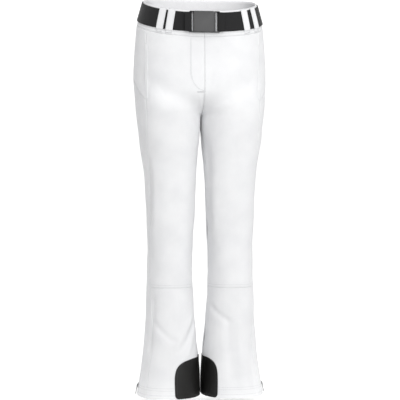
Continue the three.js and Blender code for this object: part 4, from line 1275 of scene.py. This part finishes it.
# %% Moulded parts
def moulded_copy(node, name, width, segments, material, body, slot):
    """A merged copy of a CAD node with its sharp edges rounded."""
    source = bpy.data.objects[node]
    piece = bpy.data.objects.new(name, source.data.copy())
    bpy.context.collection.objects.link(piece)
    piece.data.materials.clear()
    piece.data.materials.append(material)
    edit_all(piece, (bpy.ops.mesh.remove_doubles, {"threshold": 0.00001}),
             (bpy.ops.mesh.dissolve_limited, {"angle_limit": math.radians(3)}))
    round_edges(piece, width, segments, sharper_than=40)
    select_only(piece)
    bpy.ops.object.shade_smooth_by_angle(angle=math.radians(40))
    place(piece, slot, body, stands_for=[node])
    print(name, len(piece.data.polygons), "faces")


def plastic_material(name, dark, light, roughness, grain_depth):
    material, tree, shader = new_material(name)
    place_in = coordinates(tree, "Object")
    uneven = noise(tree, place_in, 45, 4)
    grain = noise(tree, place_in, 2200, 2)
    colour = colour_ramp(tree, uneven, [(0.3, dark), (0.75, light)])
    tree.links.new(colour, shader.inputs["Base Color"])
    tree.links.new(scaled(tree, uneven, 0.2, roughness - 0.1), shader.inputs["Roughness"])
    shader.inputs["Specular IOR Level"].default_value = 0.5
    bump(tree, shader, grain, grain_depth, 0.00005)
    return material


satin_grey = plastic_material("satin_grey_plastic", (0.030, 0.030, 0.031), (0.044, 0.044, 0.046),
                              0.42, 0.25)
black_plastic = plastic_material("black_plastic", (0.012, 0.012, 0.013), (0.026, 0.026, 0.028),
                                 0.45, 0.35)
for node, segments, material, body, slot in (
        ("buckle_housing", 2, black_plastic, "pants", "buckle_plastic"),
        ("buckle_cover", 3, satin_grey, "pants", "buckle_satin"),
        ("buckle_tongue", 2, satin_grey, "buckle_tongue", "buckle_satin")):
    moulded_copy(node, f"{node}_moulded", 0.0005, segments, material, body, slot)
for which in ("upper", "lower"):
    moulded_copy(f"buckle_arm_{which}", f"buckle_arm_{which}_moulded", 0.0004, 2, black_plastic,
                 f"buckle_arm_{which}", "buckle_plastic")

# %% [markdown]
# ## Sliders, pulls and studs
# The sliders are cast metal. Their copies get a wider radius than the buckle's edges, because a
# casting is tumbled smooth. The hem pull is a plain tab of soft plastic.

# %% Sliders
for hand, side in HANDS:
    for where in ("hem", "pocket"):
        moulded_copy(f"{where}_zip_slider_{hand}", f"{where}_slider_cast_{hand}", 0.0004, 3,
                     slider_metal, f"{where}_slider_{hand}", "zip_metal")
for node, name, radius, body in (("fly_zip_slider", "fly_slider_cast", 0.0004, "fly_slider"),
                                 ("fly_zip_puller", "fly_puller_cast", 0.0004, "fly_slider"),
                                 ("waist_snap_cap", "snap_cap_pressed", 0.0003, "pants"),
                                 ("waist_snap_socket", "snap_socket_pressed", 0.0003, "pants")):
    moulded_copy(node, name, radius, 3, slider_metal, body, "zip_metal")
for hand, side in HANDS:
    moulded_copy(f"hem_zip_puller_{hand}", f"hem_puller_moulded_{hand}", 0.0004, 3, black_plastic,
                 f"hem_puller_{hand}", "puller_plastic")

# %% [markdown]
# ## Floor and light
# The floor is a plain pale sweep that curves up behind. Four large soft lights stand round the
# pants, because a small lamp would draw hard shadows in the folds of a white cloth.

# %% Floor and light
FLOOR_LEVEL = cad_bounds[0][2] - 0.030


FLAT_TO, CURVE_RADIUS = 2.4, 1.6


def sweep():
    turn = np.linspace(0, math.pi / 2, 14)[1:]
    distance = np.concatenate([np.linspace(-0.15, FLAT_TO, 12),
                               FLAT_TO + CURVE_RADIUS * np.sin(turn),
                               np.full(6, FLAT_TO + CURVE_RADIUS)])
    height = FLOOR_LEVEL + np.concatenate([np.zeros(12), CURVE_RADIUS * (1 - np.cos(turn)),
                                           np.linspace(2.2, 6, 6)])
    across = np.linspace(-7, 7, 4)
    points = np.stack(np.broadcast_arrays(across[None, :], distance[:, None], height[:, None]), -1)
    material, _, shader = new_material("white_sweep")
    for socket, value in (("Base Color", (0.9, 0.9, 0.9, 1)), ("Roughness", 1.0),
                          ("Emission Color", (1, 1, 1, 1)), ("Emission Strength", 0.42)):
        shader.inputs[socket].default_value = value
    grid_object("floor", points, points[..., 0], points[..., 1], material)


def soft_light(name, place_at, aim, size, power):
    data = bpy.data.lights.new(name, "AREA")
    data.shape = "RECTANGLE"
    data.size, data.size_y = size
    data.energy = power
    light = bpy.data.objects.new(name, data)
    light.visible_camera = False
    light.location = place_at
    light.rotation_euler = (Vector(aim) - Vector(place_at)).to_track_quat("-Z", "Y").to_euler()
    bpy.context.collection.objects.link(light)


sweep()
soft_light("key", (0.4, -3.1, 0.3), (0, 0, -0.3), (2.6, 2.2), 61)
soft_light("right_fill", (2.2, -1.9, 0.2), (0, 0, -0.4), (1.2, 2.0), 7)
soft_light("overhead", (0, -0.8, 2.2), (0, 0, -0.2), (2.0, 2.0), 20)
soft_light("behind", (0.3, 2.6, 0.9), (0, 0, -0.5), (2.2, 1.6), 5)
world = bpy.data.worlds.new("studio")
bpy.context.scene.world = world
world.use_nodes = True
sky = world.node_tree
sky.nodes["Background"].inputs["Color"].default_value = (1, 1, 1, 1)
seen = sky.nodes.new("ShaderNodeLightPath").outputs["Is Camera Ray"]
sky.links.new(scaled(sky, seen, 0.6, 0.45), sky.nodes["Background"].inputs["Strength"])
